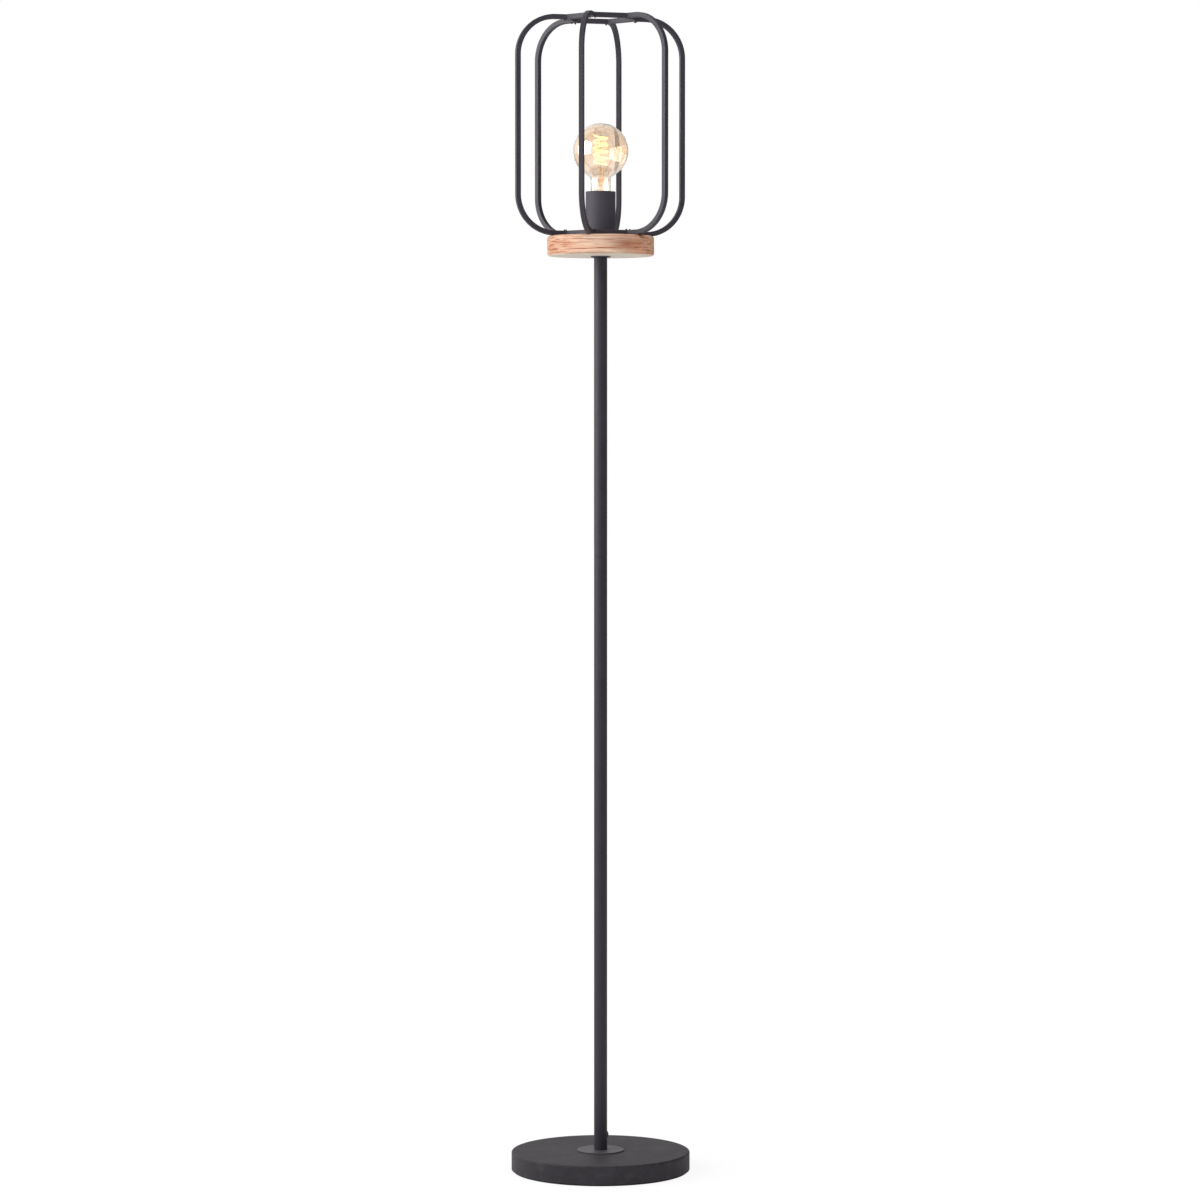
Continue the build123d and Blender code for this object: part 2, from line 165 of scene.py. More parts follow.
def mixed(tree, factor, first, second):
    """The first colour where the factor is 0, and the second where it is 1."""
    inputs = {0: factor, 6: first, 7: second}
    return put(tree, "ShaderNodeMix", inputs, data_type="RGBA").outputs[2]


def stretch(tree, value, low, high, to_low=0.0, to_high=1.0):
    """Turns the range from low to high into another one, and clamps what lies outside it."""
    return put(tree, "ShaderNodeMapRange", {
        "Value": value, "From Min": low, "From Max": high,
        "To Min": to_low, "To Max": to_high}).outputs[0]


def new_material(name):
    """Material with its tree and its main shader."""
    material = bpy.data.materials.new(name)
    material.use_nodes = True
    return material, material.node_tree, material.node_tree.nodes["Principled BSDF"]


def colour(red, green, blue):
    """A screen colour as linear light."""
    shares = [value / 255 for value in (red, green, blue)]
    linear = [s / 12.92 if s <= 0.04045 else ((s + 0.055) / 1.055) ** 2.4 for s in shares]
    return (*linear, 1.0)


print("mid grey as linear light:", round(colour(128, 128, 128)[0], 3))

# %% [markdown]
# ## Studio
# The lamp stands in a white studio. The floor catches a soft shadow near the base and turns into
# pure white further out, so no horizon shows. The camera and the glass see a plain white world, but
# the lamp gets little light from it, because black paint has to stay black. What the paint mirrors
# is dim in front and at the right, where a real studio is dark behind its lamps.

# %% World
AMBIENT = 0.24
MIRRORED_FRONT = 0.25
MIRRORED_RIGHT = 0.14
BACKDROP_FADE = (-0.2, 0.4)
SIDE_FADE = (-0.3, 0.6)
WHITE = (1, 1, 1, 1)

world = bpy.data.worlds.new("studio")
world.use_nodes = True
scene.world = world
sky = world.node_tree.nodes["Background"]
tree = world.node_tree
rays = put(tree, "ShaderNodeLightPath").outputs
direct = calc(tree, "MAXIMUM", rays["Is Camera Ray"], rays["Is Transmission Ray"])
direction = put(tree, "ShaderNodeTexCoord").outputs["Generated"]
sideways, backwards, _ = put(tree, "ShaderNodeSeparateXYZ", {"Vector": direction}).outputs
backdrop = stretch(tree, backwards, *BACKDROP_FADE, MIRRORED_FRONT, 1.0)
lit_side = stretch(tree, sideways, *SIDE_FADE, 1.0, MIRRORED_RIGHT)
mirrored = times(tree, backdrop, lit_side)
unseen = stretch(tree, rays["Is Glossy Ray"], 0, 1, AMBIENT, mirrored)
fill(tree, sky, {"Color": WHITE, "Strength": stretch(tree, direct, 0, 1, unseen, 1.0)})
print("share of the white world's light that falls on the lamp:", AMBIENT)

# %% Floor
MIRRORED_FLOOR = 0.4
FLOOR_RETURNS = 0.12
FLOOR_WHITE = 1.05
SHADOW_SHARE = 0.15
SHADOW_REACH = (0.14, 0.6)
FLOOR_HALF = 30
FLOOR_BELOW = 0.1 * MM
FLOOR_MATTE = (0.93, 0.93, 0.93, 1)


def stage_material(name):
    """Material for a thing of the studio, with only the output in its tree."""
    material, tree, surface = new_material(name)
    tree.nodes.remove(surface)
    return material, tree


def show_between(tree, share, first, second):
    """Ends a tree: the first shader shows where the share is 0, and the second where it is 1."""
    both = put(tree, "ShaderNodeMixShader", {0: share, 1: first, 2: second}).outputs[0]
    fill(tree, tree.nodes["Material Output"], {"Surface": both})


def plain_mesh(name, shape):
    """Ends an editing mesh as a plain mesh."""
    mesh = bpy.data.meshes.new(name)
    shape.to_mesh(mesh)
    shape.free()
    return mesh


def seen_directly(tree):
    """1 for rays from the camera or through glass, less for a reflection, 0 for other rays."""
    rays = put(tree, "ShaderNodeLightPath").outputs
    mirrored = times(tree, rays["Is Glossy Ray"], MIRRORED_FLOOR)
    bright = calc(tree, "MAXIMUM", rays["Is Camera Ray"], mirrored)
    return calc(tree, "MAXIMUM", bright, rays["Is Transmission Ray"])


floor_sheet = bmesh.new()
bmesh.ops.create_grid(floor_sheet, x_segments=8, y_segments=8, size=FLOOR_HALF)
bmesh.ops.translate(floor_sheet, verts=floor_sheet.verts, vec=(0, 0, -FLOOR_BELOW))
floor = add_to_scene("studio_floor", plain_mesh("studio_floor", floor_sheet))

floor_white, tree = stage_material("studio_white")
place = put(tree, "ShaderNodeTexCoord").outputs["Object"]
away = put(tree, "ShaderNodeVectorMath", {"Vector": place}, operation="LENGTH").outputs["Value"]
fade = stretch(tree, away, *SHADOW_REACH, 1 - SHADOW_SHARE, 1.0)
matte = put(tree, "ShaderNodeBsdfDiffuse", {"Color": FLOOR_MATTE}).outputs[0]
lit = put(tree, "ShaderNodeEmission", {"Color": WHITE, "Strength": FLOOR_WHITE}).outputs[0]
share = times(tree, fade, calc(tree, "MAXIMUM", seen_directly(tree), FLOOR_RETURNS))
show_between(tree, share, matte, lit)
floor.data.materials.append(floor_white)
floor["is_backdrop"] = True
print("floor reaches", FLOOR_HALF, "m to each side")

# %% [markdown]
# ## Two soft lights
# A large panel stands near the lamp at the left. It gives each bar its light and its dark side, and
# because it is near, the top of the pole gets more of it than the foot. A higher and weaker panel in
# front fills the wood and the base, and isn't mirrored in anything. The left panel shows twice in
# the bulb: on the outside of the glass, and upside down in the hollow far side. It mustn't show
# straight through the glass from the other side of the lamp, so rays that leave the glass see a card
# just behind the panel instead, which glows only for rays that were mirrored inside.

# %% Soft lights
PANEL = {"glow": 3.4, "turn": -75.0, "away": 1.6, "height": 1.52, "size": (2.2, 1.45),
         "aim_height": 1.3}
FILL = {"glow": 2.6, "turn": 14.0, "away": 1.4, "height": 2.3, "size": (2.0, 1.2),
        "aim_height": 1.0}
CARD_BEHIND = 2 * MM
CARD_GLOW = 6.5


def soft_panel(name, glow, turn, away, height, size, aim_height):
    """Square light, glow times as bright as white paper, turned about the pole from the front."""
    panel = bpy.data.lights.new(name, "AREA")
    panel.shape = "RECTANGLE"
    panel.size, panel.size_y = size
    panel.energy = glow * math.pi * panel.size * panel.size_y
    angle = math.radians(turn)
    light = add_to_scene(name, panel)
    light.visible_camera = False
    light.location = (away * math.sin(angle), -away * math.cos(angle), height)
    aim = Vector((0, 0, aim_height)) - light.location
    light.rotation_euler = aim.to_track_quat("-Z", "Y").to_euler()
    print(f"{name}: {panel.energy:.1f} W")
    return light


def mirrored_card(name, light, glow):
    """Card just behind a light that glows only for rays mirrored inside a piece of glass."""
    wide, high = light.data.size / 2, light.data.size_y / 2
    corners = [(-wide, -high), (wide, -high), (wide, high), (-wide, high)]
    mesh = bpy.data.meshes.new(name)
    mesh.from_pydata([(x, y, CARD_BEHIND) for x, y in corners], [], [(0, 1, 2, 3)])
    card = add_to_scene(name, mesh)
    card.location = light.location
    card.rotation_euler = light.rotation_euler
    card.visible_shadow = False
    material, tree = stage_material(name)
    rays = put(tree, "ShaderNodeLightPath").outputs
    was_mirrored = calc(tree, "GREATER_THAN", rays["Glossy Depth"], 0.5)
    lit = put(tree, "ShaderNodeEmission", {"Strength": glow}).outputs[0]
    unseen = put(tree, "ShaderNodeBsdfTransparent").outputs[0]
    show_between(tree, times(tree, rays["Is Transmission Ray"], was_mirrored), unseen, lit)
    mesh.materials.append(material)
    return card


panel = soft_panel("left_panel", **PANEL)
panel.visible_transmission = False
mirrored_card("left_panel_card", panel, CARD_GLOW)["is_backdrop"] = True
front = soft_panel("front_fill", **FILL)
front.visible_glossy = False
front.visible_transmission = False

# %% [markdown]
# ## Paint
# Base, pole, cage and cup are powder coated. The powder melts into a skin with a fine pebbled
# surface. The pigment is nearly black, so most of what is seen is the wide soft gloss of the skin:
# the coat looks dark grey towards the panel and black elsewhere. Two noises make it: a fine one for
# the pebbles, and wide soft clouds for handling marks and dust. The same function makes all five
# coats, because only tone, gloss and dust differ from piece to piece.

# %% Paint
PEBBLE_SIZE = 0.5 * MM
PEBBLE_DEPTH = 0.02 * MM
CLOUD_SIZE = 34 * MM
CLOUD_STRETCH = (0.6, 1.0, 1.0)
DUST_SIZE = 21 * MM
DUST_TONE = colour(150, 146, 144)


def coordinates(tree, scale=(1, 1, 1), location=(0, 0, 0)):
    """Object coordinates in metres, stretched and moved."""
    where = put(tree, "ShaderNodeTexCoord").outputs["Object"]
    return put(tree, "ShaderNodeMapping", {
        "Vector": where, "Scale": scale, "Location": location}).outputs["Vector"]


def noise(tree, where, size, detail=2.0, roughness=0.5):
    """Soft random patches about that many metres wide."""
    return put(tree, "ShaderNodeTexNoise", {
        "Vector": where, "Scale": 1 / size, "Detail": detail, "Roughness": roughness}).outputs[0]


def emboss(tree, surface, height, depth, strength=1.0):
    """Raises the surface by up to depth metres where the height is 1."""
    normal = put(tree, "ShaderNodeBump", {
        "Height": height, "Distance": depth, "Strength": strength}).outputs["Normal"]
    fill(tree, surface, {"Normal": normal})


def powder_coat(name, dark, light_tone, dust=0.0, roughness=0.5, gloss=0.5):
    """Matte black coat. Dust lightens it in soft patches."""
    material, tree, surface = new_material(name)
    where = coordinates(tree)
    pebbles = noise(tree, where, PEBBLE_SIZE, 3.0, 0.6)
    clouds = noise(tree, coordinates(tree, scale=CLOUD_STRETCH), CLOUD_SIZE, 5.0, 0.62)
    base = mixed(tree, stretch(tree, clouds, 0.35, 0.68), dark, light_tone)
    speck = stretch(tree, pebbles, 0.62, 0.78, 0.0, 0.35)
    flecked = mixed(tree, speck, base, light_tone)
    patches = stretch(tree, noise(tree, where, DUST_SIZE, 6.0, 0.7), 0.5, 0.75, 0.0, dust)
    fill(tree, surface, {
        "Base Color": mixed(tree, patches, flecked, DUST_TONE),
        "Roughness": stretch(tree, clouds, 0.3, 0.7, roughness - 0.05, roughness + 0.07),
        "Specular IOR Level": gloss})
    emboss(tree, surface, pebbles, PEBBLE_DEPTH, 0.5)
    return material


paints = {
    "base_paint": powder_coat("base_coat", colour(43, 39, 45), colour(58, 53, 60), dust=0.1,
                               roughness=0.6, gloss=0.36),
    "flange_paint": powder_coat("flange_coat", colour(72, 69, 74), colour(88, 85, 90), roughness=0.5),
    "pole_paint": powder_coat("pole_coat", colour(46, 42, 52), colour(53, 49, 59)),
    "cage_paint": powder_coat("cage_coat", colour(51, 47, 56), colour(59, 55, 64)),
    # Painted light: the cup's coat is a lighter copy of the same black paint, in place of light on its
    # front.
    "cup_paint": powder_coat("cup_coat_painted_light", colour(68, 65, 73), colour(76, 72, 81), roughness=0.6,
                             gloss=0.4),
}
print("coats:", ", ".join(paints))

# %% [markdown]
# ## Wood
# The disc is turned from a solid board whose grain runs from left to right. Seen from the front,
# the growth rings show as long level lines with short dark pores between them, and at the two
# ends of the board they show as arcs. A solid texture gives both at once: rings about an axis that
# runs along the board, far below it, plus noise that is stretched along the grain. It needs no
# unwrapping, and it runs on correctly from the rim to the top. The board isn't one tone: a dark
# patch of heartwood lies right of the middle, and the left end is warmer where the end grain has
# drunk more oil. The right end is warmer too, and it is also painted brighter: painted light in
# place of light that the lamps don't give it. The underside is painted pale: painted light for the
# light that the white floor throws up at it.

# %% Wood
RING_WIDTH = 3.1 * MM
RING_CENTRE_BELOW = 0.16
WAVE_SCALE_FOR_ONE_METRE = 2 * math.pi / 20
RING_CENTRE_IN_FRONT = 0.03
RING_DRIFT = (7, 40, 40)
RING_WANDER = 2.2 * MM
GRAIN_DEPTH = 0.12 * MM

# Stains, and one patch that is partly painted light: where each lies in metres, how far it reaches,
# its tone and its share.
HEARTWOOD = ((0.031, -0.056, 1.121), (0.024, 0.04, 0.012), (152, 80, 48), 0.9)
WARM_END = ((-0.056, -0.03, 1.117), (0.034, 0.06, 0.03), (186, 122, 82), 0.8)
# Painted light: the far end is painted brighter as well as warmer, in place of light that the lamps
# don't give it.
FAR_END_PAINTED_LIGHT = ((0.058, -0.026, 1.117), (0.03, 0.05, 0.03), (240, 164, 122), 0.7)

# Grain: patches per metre along, across and up the board, and a place in the noise.
FIBRES = ((16, 160, 1500), (0, 5.4, 0))
STREAKS = ((12, 60, 800), (3, 2.2, 2))
BANDS = ((8, 45, 170), (1, 5.86, 2))
PORES = ((60, 240, 1700), (5, 2, 7))

EARLY_WOOD = colour(248, 221, 198)
LATE_WOOD = colour(234, 188, 154)
BAND_TONE = colour(222, 160, 122)
FIBRE_TONE = colour(212, 152, 116)
STREAK_TONE = colour(164, 92, 58)
PORE_TONE = colour(120, 68, 46)
# Painted light: the pale underside tone stands in for light from the white floor below.
FLOOR_LIGHT_UNDERSIDE_TONE = colour(250, 238, 222)
disc_low, disc_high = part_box("wood_disc")
print("ring lines over the disc's height:", round((disc_high.z - disc_low.z) / RING_WIDTH, 1))

# %% Oiled wood


def height_in(tree):
    """Height of each point above the floor, in metres."""
    return put(tree, "ShaderNodeSeparateXYZ", {"Vector": coordinates(tree)}).outputs["Z"]


def grain(tree, kind, detail, roughness=0.5):
    """Noise stretched along the board. Its kind is a scale and a place."""
    scale, location = kind
    return noise(tree, coordinates(tree, scale=scale, location=location), 1.0, detail, roughness)


def oiled_wood():
    """Straight-grained board along X, with growth rings, pores, warm stains, and painted light at the
    far end and on the underside.
    """
    material, tree, surface = new_material("oiled_wood")
    pith_height = disc_low.z - RING_CENTRE_BELOW
    board = coordinates(tree, location=(0, RING_CENTRE_IN_FRONT, -pith_height))
    wander = noise(tree, coordinates(tree, scale=RING_DRIFT), 1.0, 3.0)
    shift = put(tree, "ShaderNodeCombineXYZ", {
        "X": 0.0, "Y": 0.0, "Z": stretch(tree, wander, 0, 1, -RING_WANDER, RING_WANDER)}).outputs[0]
    bent = put(tree, "ShaderNodeVectorMath", {0: board, 1: shift}, operation="ADD").outputs[0]
    rings = put(tree, "ShaderNodeTexWave", {
        "Vector": bent, "Scale": WAVE_SCALE_FOR_ONE_METRE / RING_WIDTH,
        "Distortion": 0.0}, wave_type="RINGS", rings_direction="X", wave_profile="SAW").outputs[1]
    fibres = grain(tree, FIBRES, 4.0, 0.6)
    streaks = grain(tree, STREAKS, 3.0, 0.55)
    bands = grain(tree, BANDS, 3.0)
    pores = grain(tree, PORES, 1.0)
    ringed = mixed(tree, stretch(tree, rings, 0.2, 1.0, 0.0, 0.6), EARLY_WOOD, LATE_WOOD)
    shaded = mixed(tree, stretch(tree, bands, 0.45, 0.7, 0.0, 0.6), ringed, BAND_TONE)
    for place, size, tone, share in (HEARTWOOD, WARM_END, FAR_END_PAINTED_LIGHT):
        reach = put(tree, "ShaderNodeVectorMath", {"Vector": coordinates(
            tree, scale=[1 / s for s in size], location=[-at / s for at, s in zip(place, size)])},
            operation="LENGTH").outputs["Value"]
        near = times(tree, stretch(tree, reach, 0.2, 1.3, share, 0.0),
                     stretch(tree, bands, 0.3, 0.6, 0.6, 1.0))
        shaded = mixed(tree, near, shaded, colour(*tone))
    fibrous = mixed(tree, stretch(tree, fibres, 0.45, 0.7, 0.0, 0.55), shaded, FIBRE_TONE)
    streak_share = stretch(tree, streaks, 0.54, 0.62, 0.0, 0.9)
    streaked = mixed(tree, streak_share, fibrous, STREAK_TONE)
    pore_share = stretch(tree, pores, 0.68, 0.76, 0.0, 0.55)
    finished = mixed(tree, pore_share, streaked, PORE_TONE)
    height = height_in(tree)
    # Painted light: the lowest 1.6 mm of the disc is painted pale, in place of light from the floor.
    painted_floor_light = stretch(tree, height, disc_low.z + 0.2 * MM, disc_low.z + 1.6 * MM, 0.9, 0.0)
    fill(tree, surface, {
        "Base Color": mixed(tree, painted_floor_light, finished, FLOOR_LIGHT_UNDERSIDE_TONE),
        "Roughness": stretch(tree, fibres, 0.3, 0.7, 0.5, 0.68), "Specular IOR Level": 0.35})
    relief = minus(tree, stretch(tree, fibres, 0.3, 0.7), pore_share)
    emboss(tree, surface, relief, GRAIN_DEPTH, 0.8)
    return material


wood = oiled_wood()
print("nodes in the wood:", len(wood.node_tree.nodes))

# %% [markdown]
# ## Metals, rubber and ceramic
# Most of these pieces are inside the lamp, and show when it is taken apart. Each still gets the
# mark of how it was made: spangled zinc on steel, sand-cast iron, brass cut from sheet, bright
# nickel with finger marks, and ceramic with a thin glaze.

# %% Metals


def two_tones(tree, surface, where, patch, tone, second):
    """Base colour in soft patches of two screen colours."""
    share = stretch(tree, noise(tree, where, patch, 4.0, 0.6), 0.3, 0.7)
    fill(tree, surface, {"Base Color": mixed(tree, share, colour(*tone), colour(*second))})


def metal(name, tone, second, patch, roughness, stretched=(1, 1, 1), relief=0.0):
    """Bare metal with patches of two tones and uneven gloss."""
    material, tree, surface = new_material(name)
    where = coordinates(tree, scale=stretched)
    two_tones(tree, surface, where, patch, tone, second)
    fine = noise(tree, where, patch / 6, 3.0)
    rough = stretch(tree, fine, 0.3, 0.7, roughness * 0.75, roughness * 1.35)
    fill(tree, surface, {"Metallic": 1.0, "Roughness": rough})
    if relief:
        emboss(tree, surface, fine, relief, 0.6)
    return material


def cast_iron():
    """Grey casting, rough from its sand mould."""
    material, tree, surface = new_material("cast_iron")
    where = coordinates(tree)
    sand = noise(tree, where, 1.6 * MM, 5.0, 0.7)
    rust = stretch(tree, noise(tree, where, 30 * MM, 5.0, 0.7), 0.55, 0.75, 0.0, 0.4)
    grey = mixed(tree, sand, colour(74, 72, 70), colour(122, 120, 116))
    rusty = mixed(tree, rust, grey, colour(112, 74, 50))
    fill(tree, surface, {"Base Color": rusty, "Metallic": 0.5, "Roughness": 0.75})
    emboss(tree, surface, sand, 0.35 * MM)
    return material


metals = {
    "zinc_steel": metal("zinc_plate", (196, 196, 190), (168, 170, 168), 4 * MM, 0.34),
    "contact_brass": metal("sheet_brass", (214, 178, 102), (190, 150, 78), 2 * MM, 0.26, (4, 1, 1)),
    "shell_nickel": metal("shell_nickel", (206, 202, 194), (182, 178, 168), 5 * MM, 0.22),
    "cap_nickel": metal("cap_nickel", (214, 211, 204), (188, 184, 176), 5 * MM, 0.2),
    "wire_nickel": metal("drawn_wire", (178, 170, 158), (148, 140, 128), 1 * MM, 0.3, (1, 1, 0.2)),
    "tip_solder": metal("solder", (190, 190, 194), (150, 150, 156), 1.5 * MM, 0.38,
                        relief=0.15 * MM),
    "cast_weight": cast_iron(),
}
print("metals:", ", ".join(metals))

# %% Rubber, plastic and ceramic


def moulded(name, tone, second, patch, roughness, depth, coat=0.0):
    """Rubber, plastic or ceramic: two close tones, a fine skin and a chosen gloss."""
    material, tree, surface = new_material(name)
    where = coordinates(tree)
    two_tones(tree, surface, where, patch, tone, second)
    skin = noise(tree, where, patch / 9, 3.0)
    rough = stretch(tree, skin, 0.3, 0.7, roughness - 0.04, roughness + 0.04)
    fill(tree, surface, {"Roughness": rough, "Coat Weight": coat, "Coat Roughness": 0.08})
    emboss(tree, surface, skin, depth, 0.6)
    return material


def cell_rubber():
    """Foamed rubber sheet: small open cells on every face, with painted shade in their hollows."""
    material, tree, surface = new_material("cell_rubber")
    cells = put(tree, "ShaderNodeTexVoronoi", {
        "Vector": coordinates(tree), "Scale": 1 / (0.7 * MM)}).outputs["Distance"]
    # Painted shade: each cell is darker towards its middle, where the bump makes a hollow.
    tone = mixed(tree, stretch(tree, cells, 0.1, 0.6), colour(26, 26, 27), colour(56, 55, 56))
    fill(tree, surface, {"Base Color": tone, "Roughness": 0.85})
    emboss(tree, surface, cells, 0.2 * MM)
    return material


others = {
    "gland_rubber": moulded("gland_rubber", (36, 35, 37), (46, 45, 47), 3 * MM, 0.6, 0.05 * MM),
    "lead_jacket": moulded("lead_jacket", (40, 40, 42), (48, 48, 50), 5 * MM, 0.5, 0.03 * MM),
    "core_brown": moulded("core_brown", (104, 62, 36), (88, 50, 30), 4 * MM, 0.35, 0.02 * MM),
    "core_blue": moulded("core_blue", (40, 92, 160), (30, 76, 140), 4 * MM, 0.35, 0.02 * MM),
    "holder_ceramic": moulded("glazed_ceramic", (236, 232, 222), (222, 216, 204), 8 * MM, 0.32,
                              0.03 * MM, coat=0.5),
    "black_glass": moulded("black_glass", (14, 14, 16), (30, 28, 32), 3 * MM, 0.12, 0.02 * MM),
    "pad_foam": cell_rubber(),
    "disc_wood": wood,
}
print("others:", ", ".join(others))

# %% [markdown]
# ## Hand the materials to the CAD nodes
# The record of the model names a material slot for every node. One loop goes through it and puts
# the matching material on each node. The slots of the clear glass and the filament are left out,
# because finer pieces take the place of those nodes further on.

# %% Materials on the frame
finishes = {**paints, **metals, **others}
slot_of = {part["node"]: part["material_slot"] for part in frame["record"]["subparts"]}
dressed = 0
for name, slot in slot_of.items():
    if slot in finishes:
        for material_slot in nodes[name].material_slots:
            material_slot.material = finishes[slot]
        dressed += 1
print("nodes with a material:", dressed, "of", len(nodes))

# %% [markdown]
# ## Building helpers
# Glass, caps and rings are turned shapes: one outline swept round the pole's axis. A bulb's stem is
# nearly one, but it is pinched flat halfway up. So one function stacks oval rings of points and
# skins them, and a turned shape is simply the case where each oval is a circle. Building the faces
# in code keeps the poles closed and lets the outline be as fine as the curve needs.

# %% Turned and stacked shapes
SHARP_ANGLE = math.radians(38)


def face_outwards(shape):
    """Turns all faces round if they point inwards, which shows as a negative volume."""
    if shape.calc_volume(signed=True) < 0:
        bmesh.ops.reverse_faces(shape, faces=shape.faces)


def keep_mesh(name, shape, material):
    """Ends an editing mesh as an object whose faces point outwards, smooth except at sharp edges."""
    face_outwards(shape)
    mesh = plain_mesh(name, shape)
    mesh.shade_smooth()
    mesh.set_sharp_from_angle(angle=SHARP_ANGLE)
    mesh.materials.append(material)
    return add_to_scene(name, mesh)


def stack_rings(shape, ovals, steps, closed):
    """Skins a stack of ovals (half width, half depth, height). An oval of no width is a pole."""
    turns = [2 * math.pi * step / steps for step in range(steps)]
    rings = []
    for wide, deep, height in ovals:
        if wide < 1e-9:
            rings.append([shape.verts.new((0, 0, height))])
        else:
            rings.append([shape.verts.new((wide * math.cos(t), deep * math.sin(t), height))
                          for t in turns])
    followers = rings[1:] + rings[:1] if closed else rings[1:]
    for low, high in zip(rings, followers):
        for step in range(steps):
            after = (step + 1) % steps
            corners = [low[step % len(low)], low[after % len(low)],
                       high[after % len(high)], high[step % len(high)]]
            shape.faces.new(list(dict.fromkeys(corners)))


def turned(name, outline, material, steps=128, closed=False):
    """Shape turned about the pole's axis from an outline of (radius, height)."""
    shape = bmesh.new()
    stack_rings(shape, [(radius, radius, height) for radius, height in outline], steps, closed)
    return keep_mesh(name, shape, material)


def arc(centre, radius, start, end, steps):
    """Points of an arc in the (radius, height) plane, with its angles in degrees."""
    angles = [math.radians(start + (end - start) * step / steps) for step in range(steps + 1)]
    return [(centre[0] + radius * math.cos(a), centre[1] + radius * math.sin(a)) for a in angles]


def fit(piece, body, slot, *stands_for):
    """Hands a finished piece to the frame: what it rides on, and the nodes it stands for. The slot is
    not used.
    """
    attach(piece, body)
    if stands_for:
        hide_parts(*stands_for)
    print(f"{piece.name}: {len(piece.data.polygons)} faces, rides on {body}")
    return piece


# %% [markdown]
# ## Glass of the bulb
# The globe is thin blown glass with an amber coat that fades towards the neck. Real glass has two
# faces, and both bend and reflect the light, so the outline runs up the outside and back down the
# inside. The coat is a tint on clear glass, a little cloudy, and it glows faintly near the filament.
# It is a metal oxide, which mirrors more than bare glass, so a clear layer of high index covers it.

# %% Glass
glass_low, glass_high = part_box("bulb_glass")
cap_low, cap_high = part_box("bulb_cap")
GLOBE_RADIUS = glass_high.x
GLOBE_HEIGHT = glass_high.z - GLOBE_RADIUS
GLASS_THICK = 0.8 * MM
NECK_RADIUS = 12.1 * MM
NECK_FILLET = 6.0 * MM
NECK_DRAWN_IN = 0.3 * MM
NECK_STEP = 0.6 * MM
NECK_TINT = (0.98, 0.945, 0.895, 1)
GLOBE_TINT = (0.96, 0.80, 0.64, 1)
WARM_GLOW = (1.0, 0.58, 0.24, 1)
BLACK = (0, 0, 0, 1)


def globe_outline(shrink):
    """Half outline of ball and neck, from the top down, made smaller by shrink all round."""
    ball = GLOBE_RADIUS - shrink
    neck = NECK_RADIUS - shrink
    hollow = NECK_FILLET + shrink
    drop = math.sqrt((ball + hollow) ** 2 - (neck + hollow) ** 2)
    meet = math.degrees(math.atan2(-drop, neck + hollow))
    fillet_centre = (neck + hollow, GLOBE_HEIGHT - drop)
    top_down = arc((0, GLOBE_HEIGHT), ball, 90, meet, 44)
    top_down[0] = (0, GLOBE_HEIGHT + ball)
    return top_down + arc(fillet_centre, hollow, 180 + meet, 180, 12)[1:]


def amber_glass():
    """Clear glass with a warm tint that is strongest on the globe and pale at the neck."""
    material, tree, surface = new_material("amber_glass")
    height = height_in(tree)
    coat = stretch(tree, height, cap_high.z, GLOBE_HEIGHT - 0.35 * GLOBE_RADIUS)
    cloudy = stretch(tree, noise(tree, coordinates(tree), 20 * MM, 4.0, 0.6), 0.35, 0.62, 0.45, 1.0)
    tint_share = times(tree, coat, cloudy)
    from_filament = calc(tree, "ABSOLUTE", minus(tree, height, GLOBE_HEIGHT))
    glow = stretch(tree, from_filament, 0.0, GLOBE_RADIUS, 1.0, 0.15)
    fill(tree, surface, {
        "Base Color": mixed(tree, tint_share, NECK_TINT, GLOBE_TINT),
        "Emission Color": mixed(tree, glow, BLACK, WARM_GLOW), "Emission Strength": 0.02,
        "Roughness": 0.0, "IOR": 1.46, "Transmission Weight": 1.0,
        "Coat Weight": 1.0, "Coat IOR": 2.1, "Coat Roughness": 0.0})
    return material


neck_in_cap = [(NECK_RADIUS, cap_high.z), (NECK_RADIUS - NECK_DRAWN_IN, cap_high.z - NECK_STEP),
               (NECK_RADIUS - NECK_DRAWN_IN, glass_low.z)]
neck_inside = [(NECK_RADIUS - GLASS_THICK - NECK_DRAWN_IN, glass_low.z),
               (NECK_RADIUS - GLASS_THICK - NECK_DRAWN_IN, cap_high.z - NECK_STEP),
               (NECK_RADIUS - GLASS_THICK, cap_high.z)]
outside = globe_outline(0.0)
inside = globe_outline(GLASS_THICK)
globe = turned("globe_glass", outside + neck_in_cap + neck_inside + inside[::-1], amber_glass())
fit(globe, "bulb", "amber_glass", "bulb_glass")

# %% [markdown]
# ## Stem of the bulb
# Inside the neck a flared tube is fused to the globe. It is squeezed flat round the two lead wires,
# and a thin post stands on it. The flare is a thin turned wall, and the flat pinch with its post is
# a stack of ovals that goes from round to flat and back.

# %% Stem glass
stem_low, stem_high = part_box("bulb_stem")
TUBE_RADIUS = 3.6 * MM
TUBE_WALL = 0.9 * MM
PINCH_WIDE = 4.5 * MM
PINCH_DEEP = 1.8 * MM
POST_RADIUS = 1.5 * MM
PINCH_TOP_BELOW_POST = 13.0 * MM
PINCH_HEIGHT = 9 * MM
FLARE_CURVE = 6 * MM
FLARE_HEIGHT = 9 * MM
SEAL_BELOW_POST = (26 * MM, 18 * MM)
CLEAR_TINT = (0.97, 0.95, 0.92, 1)
SEALED_TINT = (0.90, 0.62, 0.30, 1)


